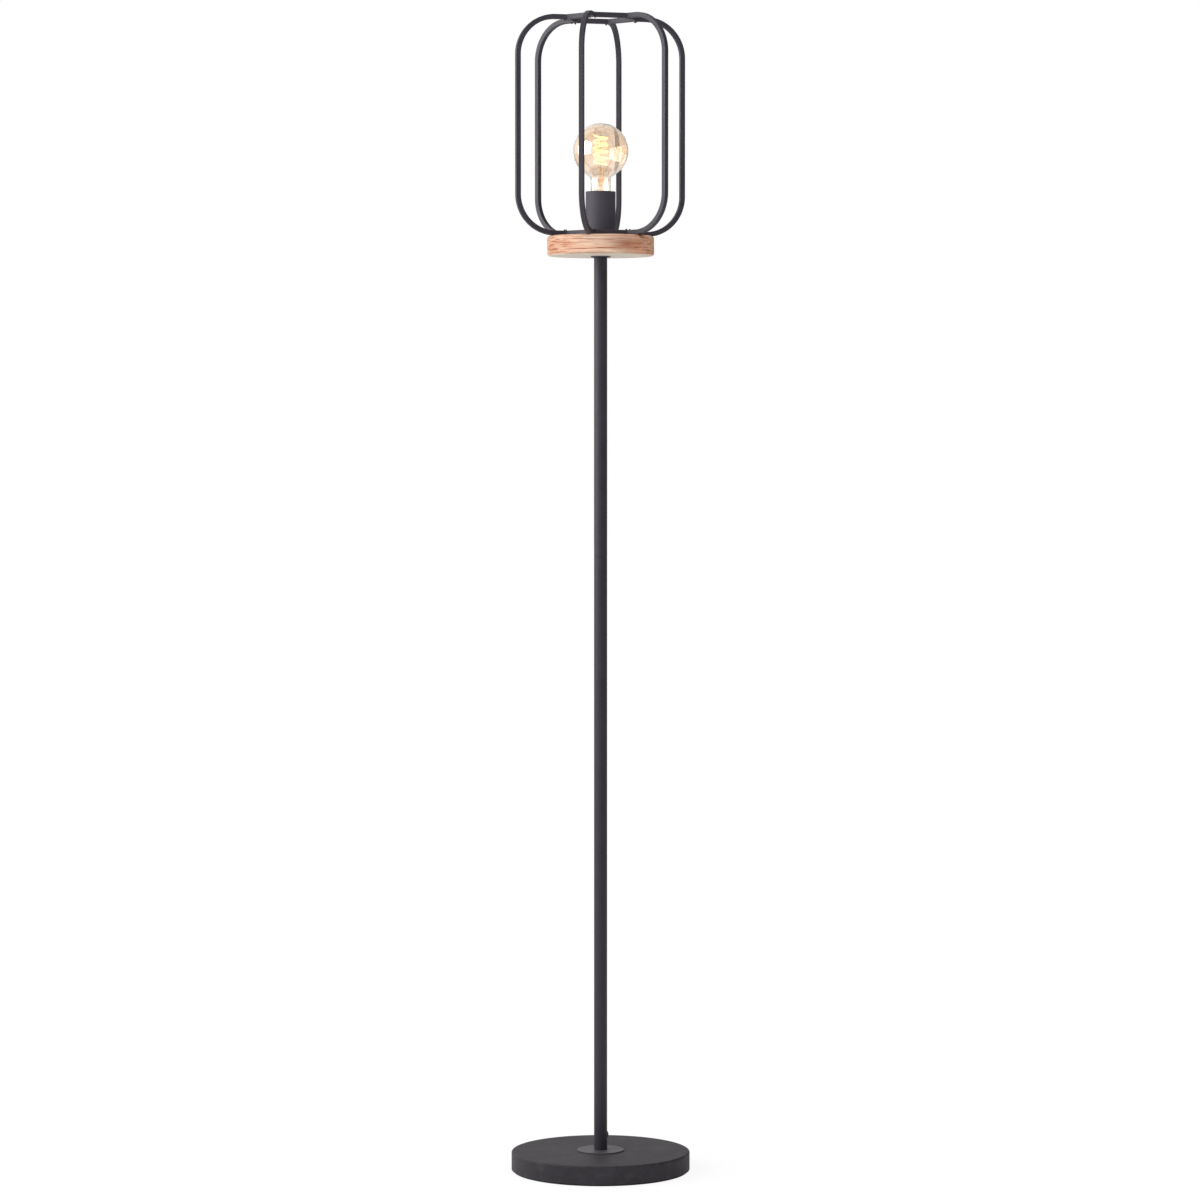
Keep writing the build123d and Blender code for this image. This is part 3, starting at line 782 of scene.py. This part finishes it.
def stem_glass():
    """Clear glass with a breath of amber where the heat of sealing has touched it, and a faint orange
    glow all over: painted light from the filament.
    """
    material, tree, surface = new_material("stem_glass")
    streaks = stretch(tree, noise(tree, coordinates(tree), 3 * MM, 4.0, 0.6), 0.35, 0.7)
    pinch_zone = stretch(tree, height_in(tree), *[stem_high.z - below for below in SEAL_BELOW_POST])
    share = times(tree, pinch_zone, stretch(tree, streaks, 0, 1, 0.55, 1.0))
    # Painted light: the faint orange emission stands in for the filament's light on the stem.
    fill(tree, surface, {
        "Base Color": mixed(tree, share, CLEAR_TINT, SEALED_TINT),
        "Roughness": 0.04, "IOR": 1.5, "Transmission Weight": 1.0,
        "Emission Color": (1.0, 0.55, 0.2, 1), "Emission Strength": 0.06})
    return material


print("stem height in mm:", round((stem_high.z - stem_low.z) / MM, 1))

# %% Stem
flare_wide = NECK_RADIUS - GLASS_THICK - NECK_DRAWN_IN - 0.1 * MM
flare_centre = (TUBE_RADIUS + FLARE_CURVE, stem_low.z + FLARE_HEIGHT)
flare_outside = [(flare_wide, stem_low.z)] + arc(flare_centre, FLARE_CURVE, 248, 180, 12)
tube_top = stem_high.z - PINCH_TOP_BELOW_POST - PINCH_HEIGHT
flare_outside.append((TUBE_RADIUS, tube_top))
flare_inside = [(radius - TUBE_WALL, height) for radius, height in reversed(flare_outside)]

stem_shape = bmesh.new()
stack_rings(stem_shape, [(r, r, h) for r, h in flare_outside + flare_inside], 64, True)
pinch_top = stem_high.z - PINCH_TOP_BELOW_POST

# Half the width, half the depth and the height of each oval, from the tube up to the post.
pinch = [
    (0, 0, tube_top - 1.5 * MM),
    (TUBE_RADIUS - TUBE_WALL * 1.2, TUBE_RADIUS - TUBE_WALL * 1.2, tube_top - 1.2 * MM),
    (TUBE_RADIUS, TUBE_RADIUS, tube_top + 0.1 * MM),
    (TUBE_RADIUS * 1.08, TUBE_RADIUS * 0.85, tube_top + 1.4 * MM),
    (PINCH_WIDE, PINCH_DEEP, tube_top + 3.4 * MM),
    (PINCH_WIDE, PINCH_DEEP, pinch_top - 1.5 * MM),
    (PINCH_WIDE * 0.93, PINCH_DEEP * 0.9, pinch_top - 0.4 * MM),
    (PINCH_WIDE * 0.62, PINCH_DEEP * 0.86, pinch_top + 0.2 * MM),
    (POST_RADIUS * 1.15, POST_RADIUS * 1.05, pinch_top + 1.0 * MM),
    (POST_RADIUS * 0.8, POST_RADIUS * 0.8, pinch_top + 2.4 * MM),
    (POST_RADIUS * 0.8, POST_RADIUS * 0.8, stem_high.z - 2.2 * MM),
    (POST_RADIUS, POST_RADIUS, stem_high.z - 1.4 * MM),
    (POST_RADIUS * 0.85, POST_RADIUS * 0.85, stem_high.z - 0.3 * MM),
    (0, 0, stem_high.z),
]
stack_rings(stem_shape, pinch, 64, False)
stem = keep_mesh("stem_glass", stem_shape, stem_glass())
fit(stem, "bulb", "stem_glass", "bulb_stem")

# %% [markdown]
# ## A Geometry Nodes tree for threads
# A screw thread is a ridge that climbs by its pitch on each turn. The tree rolls a flat grid into a
# tube: one direction of the grid is the turn, and the other goes up the outside and down the
# inside. The radius of each point depends on its height less the climb of its turn, so one formula
# serves the rolled thread of the bulb's cap, the sleeve it screws into and the machine threads of
# the hollow rods. Because the wave is tied to the climb, it lines up with itself after each turn.

# %% Tree helpers


def new_tree(name, sockets):
    """Geometry Nodes tree with named inputs. Returns the tree, its inputs and its output socket."""
    tree = bpy.data.node_groups.new(name, "GeometryNodeTree")
    face = tree.interface
    face.new_socket(name="Geometry", in_out="INPUT", socket_type="NodeSocketGeometry")
    face.new_socket(name="Geometry", in_out="OUTPUT", socket_type="NodeSocketGeometry")
    for label, kind in sockets.items():
        face.new_socket(name=label, in_out="INPUT", socket_type="NodeSocket" + kind)
    entry = tree.nodes.new("NodeGroupInput").outputs
    leave = tree.nodes.new("NodeGroupOutput").inputs["Geometry"]
    return tree, entry, leave


def end_tree(tree, geometry, material, leave):
    """The last steps of every tree: real meshes, smooth faces, a material."""
    real = put(tree, "GeometryNodeRealizeInstances", {"Geometry": geometry}).outputs[0]
    smooth = put(tree, "GeometryNodeSetShadeSmooth", {"Geometry": real}).outputs[0]
    coated = put(tree, "GeometryNodeSetMaterial", {"Geometry": smooth, "Material": material})
    feed(tree, leave, coated.outputs[0])


def worked_out(thing):
    """New mesh of an object with its curve or its modifier worked out."""
    seen = thing.evaluated_get(bpy.context.evaluated_depsgraph_get())
    return bpy.data.meshes.new_from_object(seen)


def grow(name, tree, values, start=None):
    """Runs a tree with these inputs and keeps the result as a plain mesh, faces outwards."""
    piece = add_to_scene(name, start or bpy.data.meshes.new(name))
    modifier = piece.modifiers.new(name, "NODES")
    modifier.node_group = tree
    for item in tree.interface.items_tree:
        if item.in_out == "INPUT" and item.name in values:
            modifier[item.identifier] = values[item.name]
    plain = worked_out(piece)
    piece.modifiers.remove(modifier)
    shape = bmesh.new()
    shape.from_mesh(plain)
    face_outwards(shape)
    shape.to_mesh(plain)
    shape.free()
    plain.set_sharp_from_angle(angle=SHARP_ANGLE)
    plain.name = name
    piece.data = plain
    return piece


def wind(tree, geometry, radius, turns, height):
    """Moves each point to its radius and height, so many turns round the axis."""
    angle = times(tree, turns, math.tau)
    spot = put(tree, "ShaderNodeCombineXYZ", {
        "X": times(tree, radius, calc(tree, "COSINE", angle)),
        "Y": times(tree, radius, calc(tree, "SINE", angle)), "Z": height}).outputs[0]
    return put(tree, "GeometryNodeSetPosition", {"Geometry": geometry, "Position": spot}).outputs[0]


helpers = (new_tree, end_tree, worked_out, grow, wind)
print("tree helpers:", ", ".join(helper.__name__ for helper in helpers))

# %% The thread tree


def grid_to_roll(tree, given):
    """Flat grid. Returns it with the turn and height of each point, and 1 where it is inside."""
    twice = times(tree, given["Rows"], 2)
    grid = put(tree, "GeometryNodeMeshGrid", {
        "Size X": 1.0, "Size Y": 1.0,
        "Vertices X": plus(tree, given["Around"], 1),
        "Vertices Y": plus(tree, twice, 1)}).outputs["Mesh"]
    spot = put(tree, "ShaderNodeSeparateXYZ", {
        "Vector": put(tree, "GeometryNodeInputPosition").outputs[0]}).outputs
    turn = plus(tree, spot["X"], 0.5)

    # Row numbers run up the outside, then down the inside, and end where they began.
    row = calc(tree, "ROUND", times(tree, plus(tree, spot["Y"], 0.5), twice))
    row = calc(tree, "FLOORED_MODULO", row, twice)
    last = minus(tree, given["Rows"], 1)
    is_inner = calc(tree, "GREATER_THAN", row, plus(tree, last, 0.5))
    down = minus(tree, plus(tree, times(tree, last, 2), 1), row)
    is_outer = minus(tree, 1.0, is_inner)
    step = plus(tree, times(tree, is_inner, down), times(tree, is_outer, row))
    level = calc(tree, "DIVIDE", step, last)
    length = minus(tree, given["High"], given["Low"])
    height = calc(tree, "MULTIPLY_ADD", level, length, given["Low"])
    return grid, turn, height, is_inner


def ridged_radius(tree, given, turn, height):
    """Outer radius: a smooth wave of the height less the climb, which fades out near both ends."""
    climb = times(tree, turn, given["Pitch"])
    raised = minus(tree, minus(tree, height, given["Phase"]), climb)
    pitches = calc(tree, "DIVIDE", raised, given["Pitch"])
    wave = calc(tree, "COSINE", times(tree, pitches, math.tau))
    ridge = calc(tree, "MULTIPLY_ADD", wave, 0.5, 0.5)
    from_low = minus(tree, minus(tree, height, given["Low"]), given["Plain Low"])
    from_high = minus(tree, minus(tree, given["High"], height), given["Plain High"])
    nearer = calc(tree, "DIVIDE", calc(tree, "MINIMUM", from_low, from_high), given["Fade"])
    cut = calc(tree, "MINIMUM", calc(tree, "MAXIMUM", nearer, 0.0), 1.0)
    depth = minus(tree, given["Crest"], given["Root"])
    return calc(tree, "MULTIPLY_ADD", times(tree, ridge, cut), depth, given["Root"])


def make_thread_tree():
    """Tube with a thread outside, and inside either a straight bore or the back of a rolled sheet."""
    tree, given, leave = new_tree("thread", {
        "Low": "Float", "High": "Float", "Root": "Float", "Crest": "Float", "Pitch": "Float",
        "Phase": "Float", "Plain Low": "Float", "Plain High": "Float", "Fade": "Float",
        "Bore": "Float", "Wall": "Float", "Rolled": "Float",
        "Around": "Int", "Rows": "Int", "Material": "Material"})
    grid, turn, height, is_inner = grid_to_roll(tree, given)
    outer = ridged_radius(tree, given, turn, height)
    straight = times(tree, minus(tree, 1.0, given["Rolled"]), given["Bore"])
    behind = times(tree, given["Rolled"], minus(tree, outer, given["Wall"]))
    thickness = minus(tree, plus(tree, straight, behind), outer)
    radius = calc(tree, "MULTIPLY_ADD", is_inner, thickness, outer)
    tube = wind(tree, grid, radius, turn, height)
    welded = put(tree, "GeometryNodeMergeByDistance", {"Geometry": tube, "Distance": 1e-6}).outputs[0]
    end_tree(tree, welded, given["Material"], leave)
    return tree


thread_tree = make_thread_tree()
print("thread tree:", len(thread_tree.nodes), "nodes")

# %% [markdown]
# ## Cap and sleeve
# The bulb's cap is thin sheet with a rolled thread of seven turns to the inch, and the sleeve in
# the lampholder has the same wave, 0.25 mm further out at the root and 0.3 mm at the crest.
# Unscrewing the bulb by one turn lifts it by one pitch, so the two waves stay in step at every
# angle.

# %% Cap and sleeve
CAP_PITCH = 3.629 * MM
CAP_CREST = cap_high.x
CAP_ROOT = 12.2 * MM
CAP_FIRST_RIDGE = 2.6 * MM
CAP_SHEET = 0.35 * MM
CAP_LIP = 0.3 * MM
CAP_COLLAR = 3.0 * MM
SLEEVE_GAP = 0.25 * MM
rolled_thread = {
    "Pitch": CAP_PITCH, "Phase": cap_low.z + CAP_FIRST_RIDGE, "Rolled": 1.0, "Bore": 0.0,
    "Fade": CAP_PITCH * 0.6, "Around": 96, "Rows": 140,
}
cap = grow("threaded_cap", thread_tree, {
    **rolled_thread, "Low": cap_low.z, "High": cap_high.z, "Root": CAP_ROOT, "Crest": CAP_CREST,
    "Plain Low": CAP_LIP, "Plain High": CAP_COLLAR, "Wall": CAP_SHEET,
    "Material": metals["cap_nickel"]})
fit(cap, "bulb", "cap_nickel", "bulb_cap")

sleeve_low, sleeve_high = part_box("holder_shell")
SLEEVE_SHEET = 0.4 * MM
sleeve = grow("threaded_sleeve", thread_tree, {
    **rolled_thread, "Low": sleeve_low.z, "High": sleeve_high.z,
    "Root": CAP_ROOT + SLEEVE_GAP + SLEEVE_SHEET, "Crest": sleeve_high.x,
    "Plain Low": -CAP_PITCH, "Plain High": -CAP_PITCH, "Wall": SLEEVE_SHEET,
    "Material": metals["shell_nickel"]})
fit(sleeve, "stand", "shell_nickel", "holder_shell")

# %% [markdown]
# ## Threaded rods
# Four hollow rods hold the lamp together and carry the lead through it. They have a fine machine
# thread of 1 mm pitch over their whole length, and their ends are eased where the thread starts.

# %% Threaded rods
MACHINE_PITCH = 1.0 * MM
THREAD_DEPTH = 0.58 * MM
THREAD_EASE = 0.6 * MM
ROD_BORE = 3.5 * MM
ROWS_PER_PITCH = 6
for name in ("base_nipple", "joint_nipple_lower", "joint_nipple_upper", "head_nipple"):
    low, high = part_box(name)
    pitches = (high.z - low.z) / MACHINE_PITCH
    rod = grow(f"threaded_{name}", thread_tree, {
        "Low": low.z, "High": high.z, "Root": high.x - THREAD_DEPTH, "Crest": high.x,
        "Pitch": MACHINE_PITCH, "Phase": low.z, "Plain Low": 0.0, "Plain High": 0.0,
        "Fade": THREAD_EASE, "Bore": ROD_BORE, "Wall": 0.0, "Rolled": 0.0,
        "Around": 40, "Rows": round(pitches * ROWS_PER_PITCH) + 1,
        "Material": metals["zinc_steel"]})
    fit(rod, "stand", "zinc_steel", name)

# %% [markdown]
# ## Filament
# The filament is a flexible string of tiny lamps in a soft yellow coat, wound into a spiral. Its
# centre line follows a rule, so Geometry Nodes draw it: a line of points is bent by the turn and the
# climb of each point, then a round profile is swept along it. The little lamps are spheres set along
# the same line, which only just swell the coat.

# %% Filament's sizes and coat
COIL_RADIUS = 8.2 * MM
COIL_PITCH = 8.0 * MM
COIL_TURNS = 4.5
COAT_RADIUS = 0.85 * MM
CHIP_SPACING = 1.7 * MM
CHIP_SWELL = 1.12
COIL_ABOVE_MIDDLE = 1.2 * MM
COIL_LOW = GLOBE_HEIGHT - COIL_PITCH * COIL_TURNS / 2 + COIL_ABOVE_MIDDLE
FILAMENT_LIGHT = 2.9
NEAR_CHIP = (1.0, 0.83, 0.44, 1)
BETWEEN_CHIPS = (1.0, 0.66, 0.20, 1)


def glowing_coat():
    """Soft yellow coat, lit from inside: nearly white over each little lamp, warmer between them."""
    material, tree, surface = new_material("glowing_coat")
    dots = put(tree, "ShaderNodeTexVoronoi", {
        "Vector": coordinates(tree), "Scale": 1 / CHIP_SPACING}).outputs["Distance"]
    light_tone = mixed(tree, stretch(tree, dots, 0.1, 0.7), NEAR_CHIP, BETWEEN_CHIPS)
    fill(tree, surface, {
        "Emission Color": light_tone, "Emission Strength": FILAMENT_LIGHT,
        "Base Color": (1.0, 0.72, 0.25, 1), "Roughness": 0.5})
    return material


coil_length = COIL_TURNS * math.hypot(math.tau * COIL_RADIUS, COIL_PITCH)
print("filament length in mm:", round(coil_length / MM))

# %% Filament


def resampled(tree, curve, count):
    """The curve as that many points, evenly spaced."""
    return put(tree, "GeometryNodeResampleCurve", {"Curve": curve, "Count": count}).outputs[0]


def make_spiral_tree():
    """Round coat swept along a spiral, with balls set along the same line."""
    tree, given, leave = new_tree("spiral", {
        "Turns": "Float", "Coil Radius": "Float", "Pitch": "Float", "Low": "Float",
        "Coat Radius": "Float", "Chip Swell": "Float", "Steps": "Int", "Chips": "Int",
        "Material": "Material"})
    line = put(tree, "GeometryNodeCurvePrimitiveLine").outputs["Curve"]
    points = resampled(tree, line, given["Steps"])
    along = put(tree, "GeometryNodeSplineParameter").outputs["Factor"]
    turned_by = times(tree, along, given["Turns"])
    height = calc(tree, "MULTIPLY_ADD", turned_by, given["Pitch"], given["Low"])
    spiral = wind(tree, points, given["Coil Radius"], turned_by, height)
    profile = put(tree, "GeometryNodeCurvePrimitiveCircle", {
        "Resolution": 14, "Radius": given["Coat Radius"]}).outputs["Curve"]
    coat = put(tree, "GeometryNodeCurveToMesh", {
        "Curve": spiral, "Profile Curve": profile, "Fill Caps": True}).outputs[0]
    chip_points = resampled(tree, spiral, given["Chips"])
    chip = put(tree, "GeometryNodeMeshIcoSphere", {
        "Radius": times(tree, given["Coat Radius"], given["Chip Swell"]), "Subdivisions": 2})
    chips = put(tree, "GeometryNodeInstanceOnPoints", {
        "Points": chip_points, "Instance": chip.outputs["Mesh"]}).outputs[0]
    joined = put(tree, "GeometryNodeJoinGeometry")
    for part in (coat, chips):
        tree.links.new(part, joined.inputs[0])
    end_tree(tree, joined.outputs[0], given["Material"], leave)
    return tree


filament = grow("glowing_filament", make_spiral_tree(), {
    "Turns": COIL_TURNS, "Coil Radius": COIL_RADIUS, "Pitch": COIL_PITCH, "Low": COIL_LOW,
    "Coat Radius": COAT_RADIUS, "Chip Swell": CHIP_SWELL, "Steps": 400,
    "Chips": round(coil_length / CHIP_SPACING), "Material": glowing_coat()})
fit(filament, "bulb", "filament_glow", "bulb_filament")

# %% [markdown]
# ## Welds of the cage
# Each bent bar is welded to the corner of the upper and of the lower hexagon. The welder runs a
# short seam up both sides of the bar, which leaves a row of overlapping drops. Geometry Nodes place
# the drops: the start mesh holds one short edge for each seam, the tree spreads points along it and
# sets a squashed ball on each, with a random size from a fixed seed. The seams start a little past
# the hexagon on the side that faces the middle of the cage, where the photograph shows small nibs.

# %% Welds
BAR = 6.0 * MM
DROP_RADIUS = 1.2 * MM
DROPS = 10
LEAST_DROP = (0.72, 0.72, 0.62)
LARGEST_DROP = (1.06, 1.06, 0.86)
SEAM_CLEAR = 0.1 * MM
SEED = 7
HEXAGON_RADIUS = 46.2 * MM
CROTCH_RADIUS = HEXAGON_RADIUS - BAR / 2 / math.tan(math.radians(60))


def make_weld_tree():
    """Squashed balls of random size along each edge of the start mesh."""
    tree, given, leave = new_tree("weld", {
        "Drops": "Int", "Drop Radius": "Float", "Seed": "Int", "Material": "Material"})
    seams = put(tree, "GeometryNodeMeshToCurve", {"Mesh": given["Geometry"]}).outputs[0]
    points = resampled(tree, seams, given["Drops"])
    drop = put(tree, "GeometryNodeMeshIcoSphere", {
        "Radius": given["Drop Radius"], "Subdivisions": 3}).outputs["Mesh"]
    size = put(tree, "FunctionNodeRandomValue", {
        0: LEAST_DROP, 1: LARGEST_DROP, "Seed": given["Seed"]}, data_type="FLOAT_VECTOR").outputs[0]
    drops = put(tree, "GeometryNodeInstanceOnPoints", {
        "Points": points, "Instance": drop, "Scale": size}).outputs[0]
    end_tree(tree, drops, given["Material"], leave)
    return tree


def seam_edges():
    """One upright edge at each side of each bar, where it meets a hexagon."""
    shape = bmesh.new()
    for hexagon, past in (("cage_bottom_hexagon", 1), ("cage_top_hexagon", -1)):
        low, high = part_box(hexagon)
        near, far = (low.z, high.z) if past == 1 else (high.z, low.z)
        start_height = near + past * DROP_RADIUS
        end_height = far + past * 0.5 * DROP_RADIUS
        for number in range(1, 7):
            bar_low, bar_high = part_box(f"cage_bar_{number}")
            out = Vector((bar_low.x + bar_high.x, bar_low.y + bar_high.y, 0)).normalized()
            across = Vector((-out.y, out.x, 0))
            for side in (1, -1):
                foot = out * CROTCH_RADIUS + across * side * (BAR / 2 + SEAM_CLEAR)
                ends = [foot + Vector((0, 0, height)) for height in (start_height, end_height)]
                shape.edges.new([shape.verts.new(end) for end in ends])
    return plain_mesh("weld_seams", shape)


welds = grow("weld_seams", make_weld_tree(), {
    "Drops": DROPS, "Drop Radius": DROP_RADIUS, "Seed": SEED, "Material": paints["cage_paint"]},
    seam_edges())
fit(welds, "stand", "cage_paint")

# %% [markdown]
# ## Lead inside the pole
# A round two-core lead runs from the gland up the hollow pole to the lampholder, where its two
# cores go to the screws. A curve with a round bevel is the usual way to make a lead: a few control
# points give the route, and the smooth spline between them bends the way a lead does.

# %% Lead


def lead(name, points, radius, material):
    """Round lead along a smooth spline, as a plain mesh."""
    curve = bpy.data.curves.new(name, "CURVE")
    curve.dimensions = "3D"
    curve.bevel_depth = radius
    curve.bevel_resolution = 5
    curve.use_fill_caps = True
    curve.resolution_u = 16
    spline = curve.splines.new("NURBS")
    spline.points.add(len(points) - 1)
    for point, place in zip(spline.points, points):
        point.co = (*place, 1)
    spline.order_u = 3
    spline.use_endpoint_u = True
    guide = add_to_scene(name + "_route", curve)
    shape = bmesh.new()
    shape.from_mesh(worked_out(guide))
    bpy.data.objects.remove(guide)
    return keep_mesh(name, shape, material)


gland_low, gland_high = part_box("cord_gland")
_, lead_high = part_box("inner_lead")
LEAD_RADIUS = 2.6 * MM
GLAND_HEIGHT = (gland_low.z + gland_high.z) / 2
GLAND_TURN = math.radians(33)
LEAD_START = 8.5 * MM
BEND = 6.4 * MM
outwards = Vector((math.sin(GLAND_TURN), math.cos(GLAND_TURN), 0))
turn_point = Vector((0, 0, GLAND_HEIGHT))
route = [outwards * LEAD_START + turn_point, outwards * BEND + turn_point, turn_point,
         turn_point + Vector((0, 0, BEND)), turn_point + Vector((0, 0, 10 * BEND)),
         (0, 0, lead_high.z)]
pole_lead = lead("lead_in_pole", route, LEAD_RADIUS, others["lead_jacket"])
fit(pole_lead, "stand", "lead_jacket", "inner_lead")

# %% Cores
CORE_RADIUS = 1.1 * MM
CORE_APART = 1.3 * MM
CORE_BEND = 1.8 * MM
CORE_LEAN = 0.8 * MM
SCREW_IN_FRONT = 2.4 * MM
for number, side, slot in ((1, 1, "core_brown"), (2, -1, "core_blue")):
    node = f"lead_core_{number}"
    low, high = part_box(node)
    rise = high.z - CORE_RADIUS
    end = high.x if side == 1 else low.x
    core_route = [(side * CORE_APART, 0, low.z), (side * CORE_APART, 0, rise - CORE_BEND),
                  (side * CORE_APART, 0, rise), (side * (CORE_APART + CORE_BEND), -CORE_LEAN, rise),
                  (end, -SCREW_IN_FRONT, rise)]
    core = lead(f"insulated_core_{number}", core_route, CORE_RADIUS, others[slot])
    fit(core, "stand", slot, node)

# %% [markdown]
# ## Pad under the base
# A ring of foamed rubber keeps the base from sliding and scratching. It is cut from sheet, so it has
# flat faces, and its edges are a little rounded where the foam gives way.

# %% Pad
pad_low, pad_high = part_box("base_pad")
PAD_HOLE = 17.0 * MM
PAD_EDGE = 0.5 * MM
inner_edge, outer_edge = PAD_HOLE + PAD_EDGE, pad_high.x - PAD_EDGE
low_edge, high_edge = pad_low.z + PAD_EDGE, pad_high.z - PAD_EDGE
pad_outline = []
for centre, start in (((inner_edge, low_edge), 180), ((outer_edge, low_edge), 270),
                      ((outer_edge, high_edge), 0), ((inner_edge, high_edge), 90)):
    pad_outline += arc(centre, PAD_EDGE, start, start + 90, 4)
pad = turned("foam_pad", pad_outline, others["pad_foam"], steps=160, closed=True)
fit(pad, "stand", "pad_foam", "base_pad")

# %% [markdown]
# ## The size
# The dressed lamp has to stay inside the box of the CAD model. Both boxes are printed side by side.

# %% Finish
now_low, now_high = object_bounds()
for axis, *ends in zip("XYZ", now_low, now_high, cad_low, cad_high):
    low, high, cad_from, cad_to = [end / MM for end in ends]
    print(f"{axis}: {low:.2f} to {high:.2f} mm, CAD {cad_from:.2f} to {cad_to:.2f}")
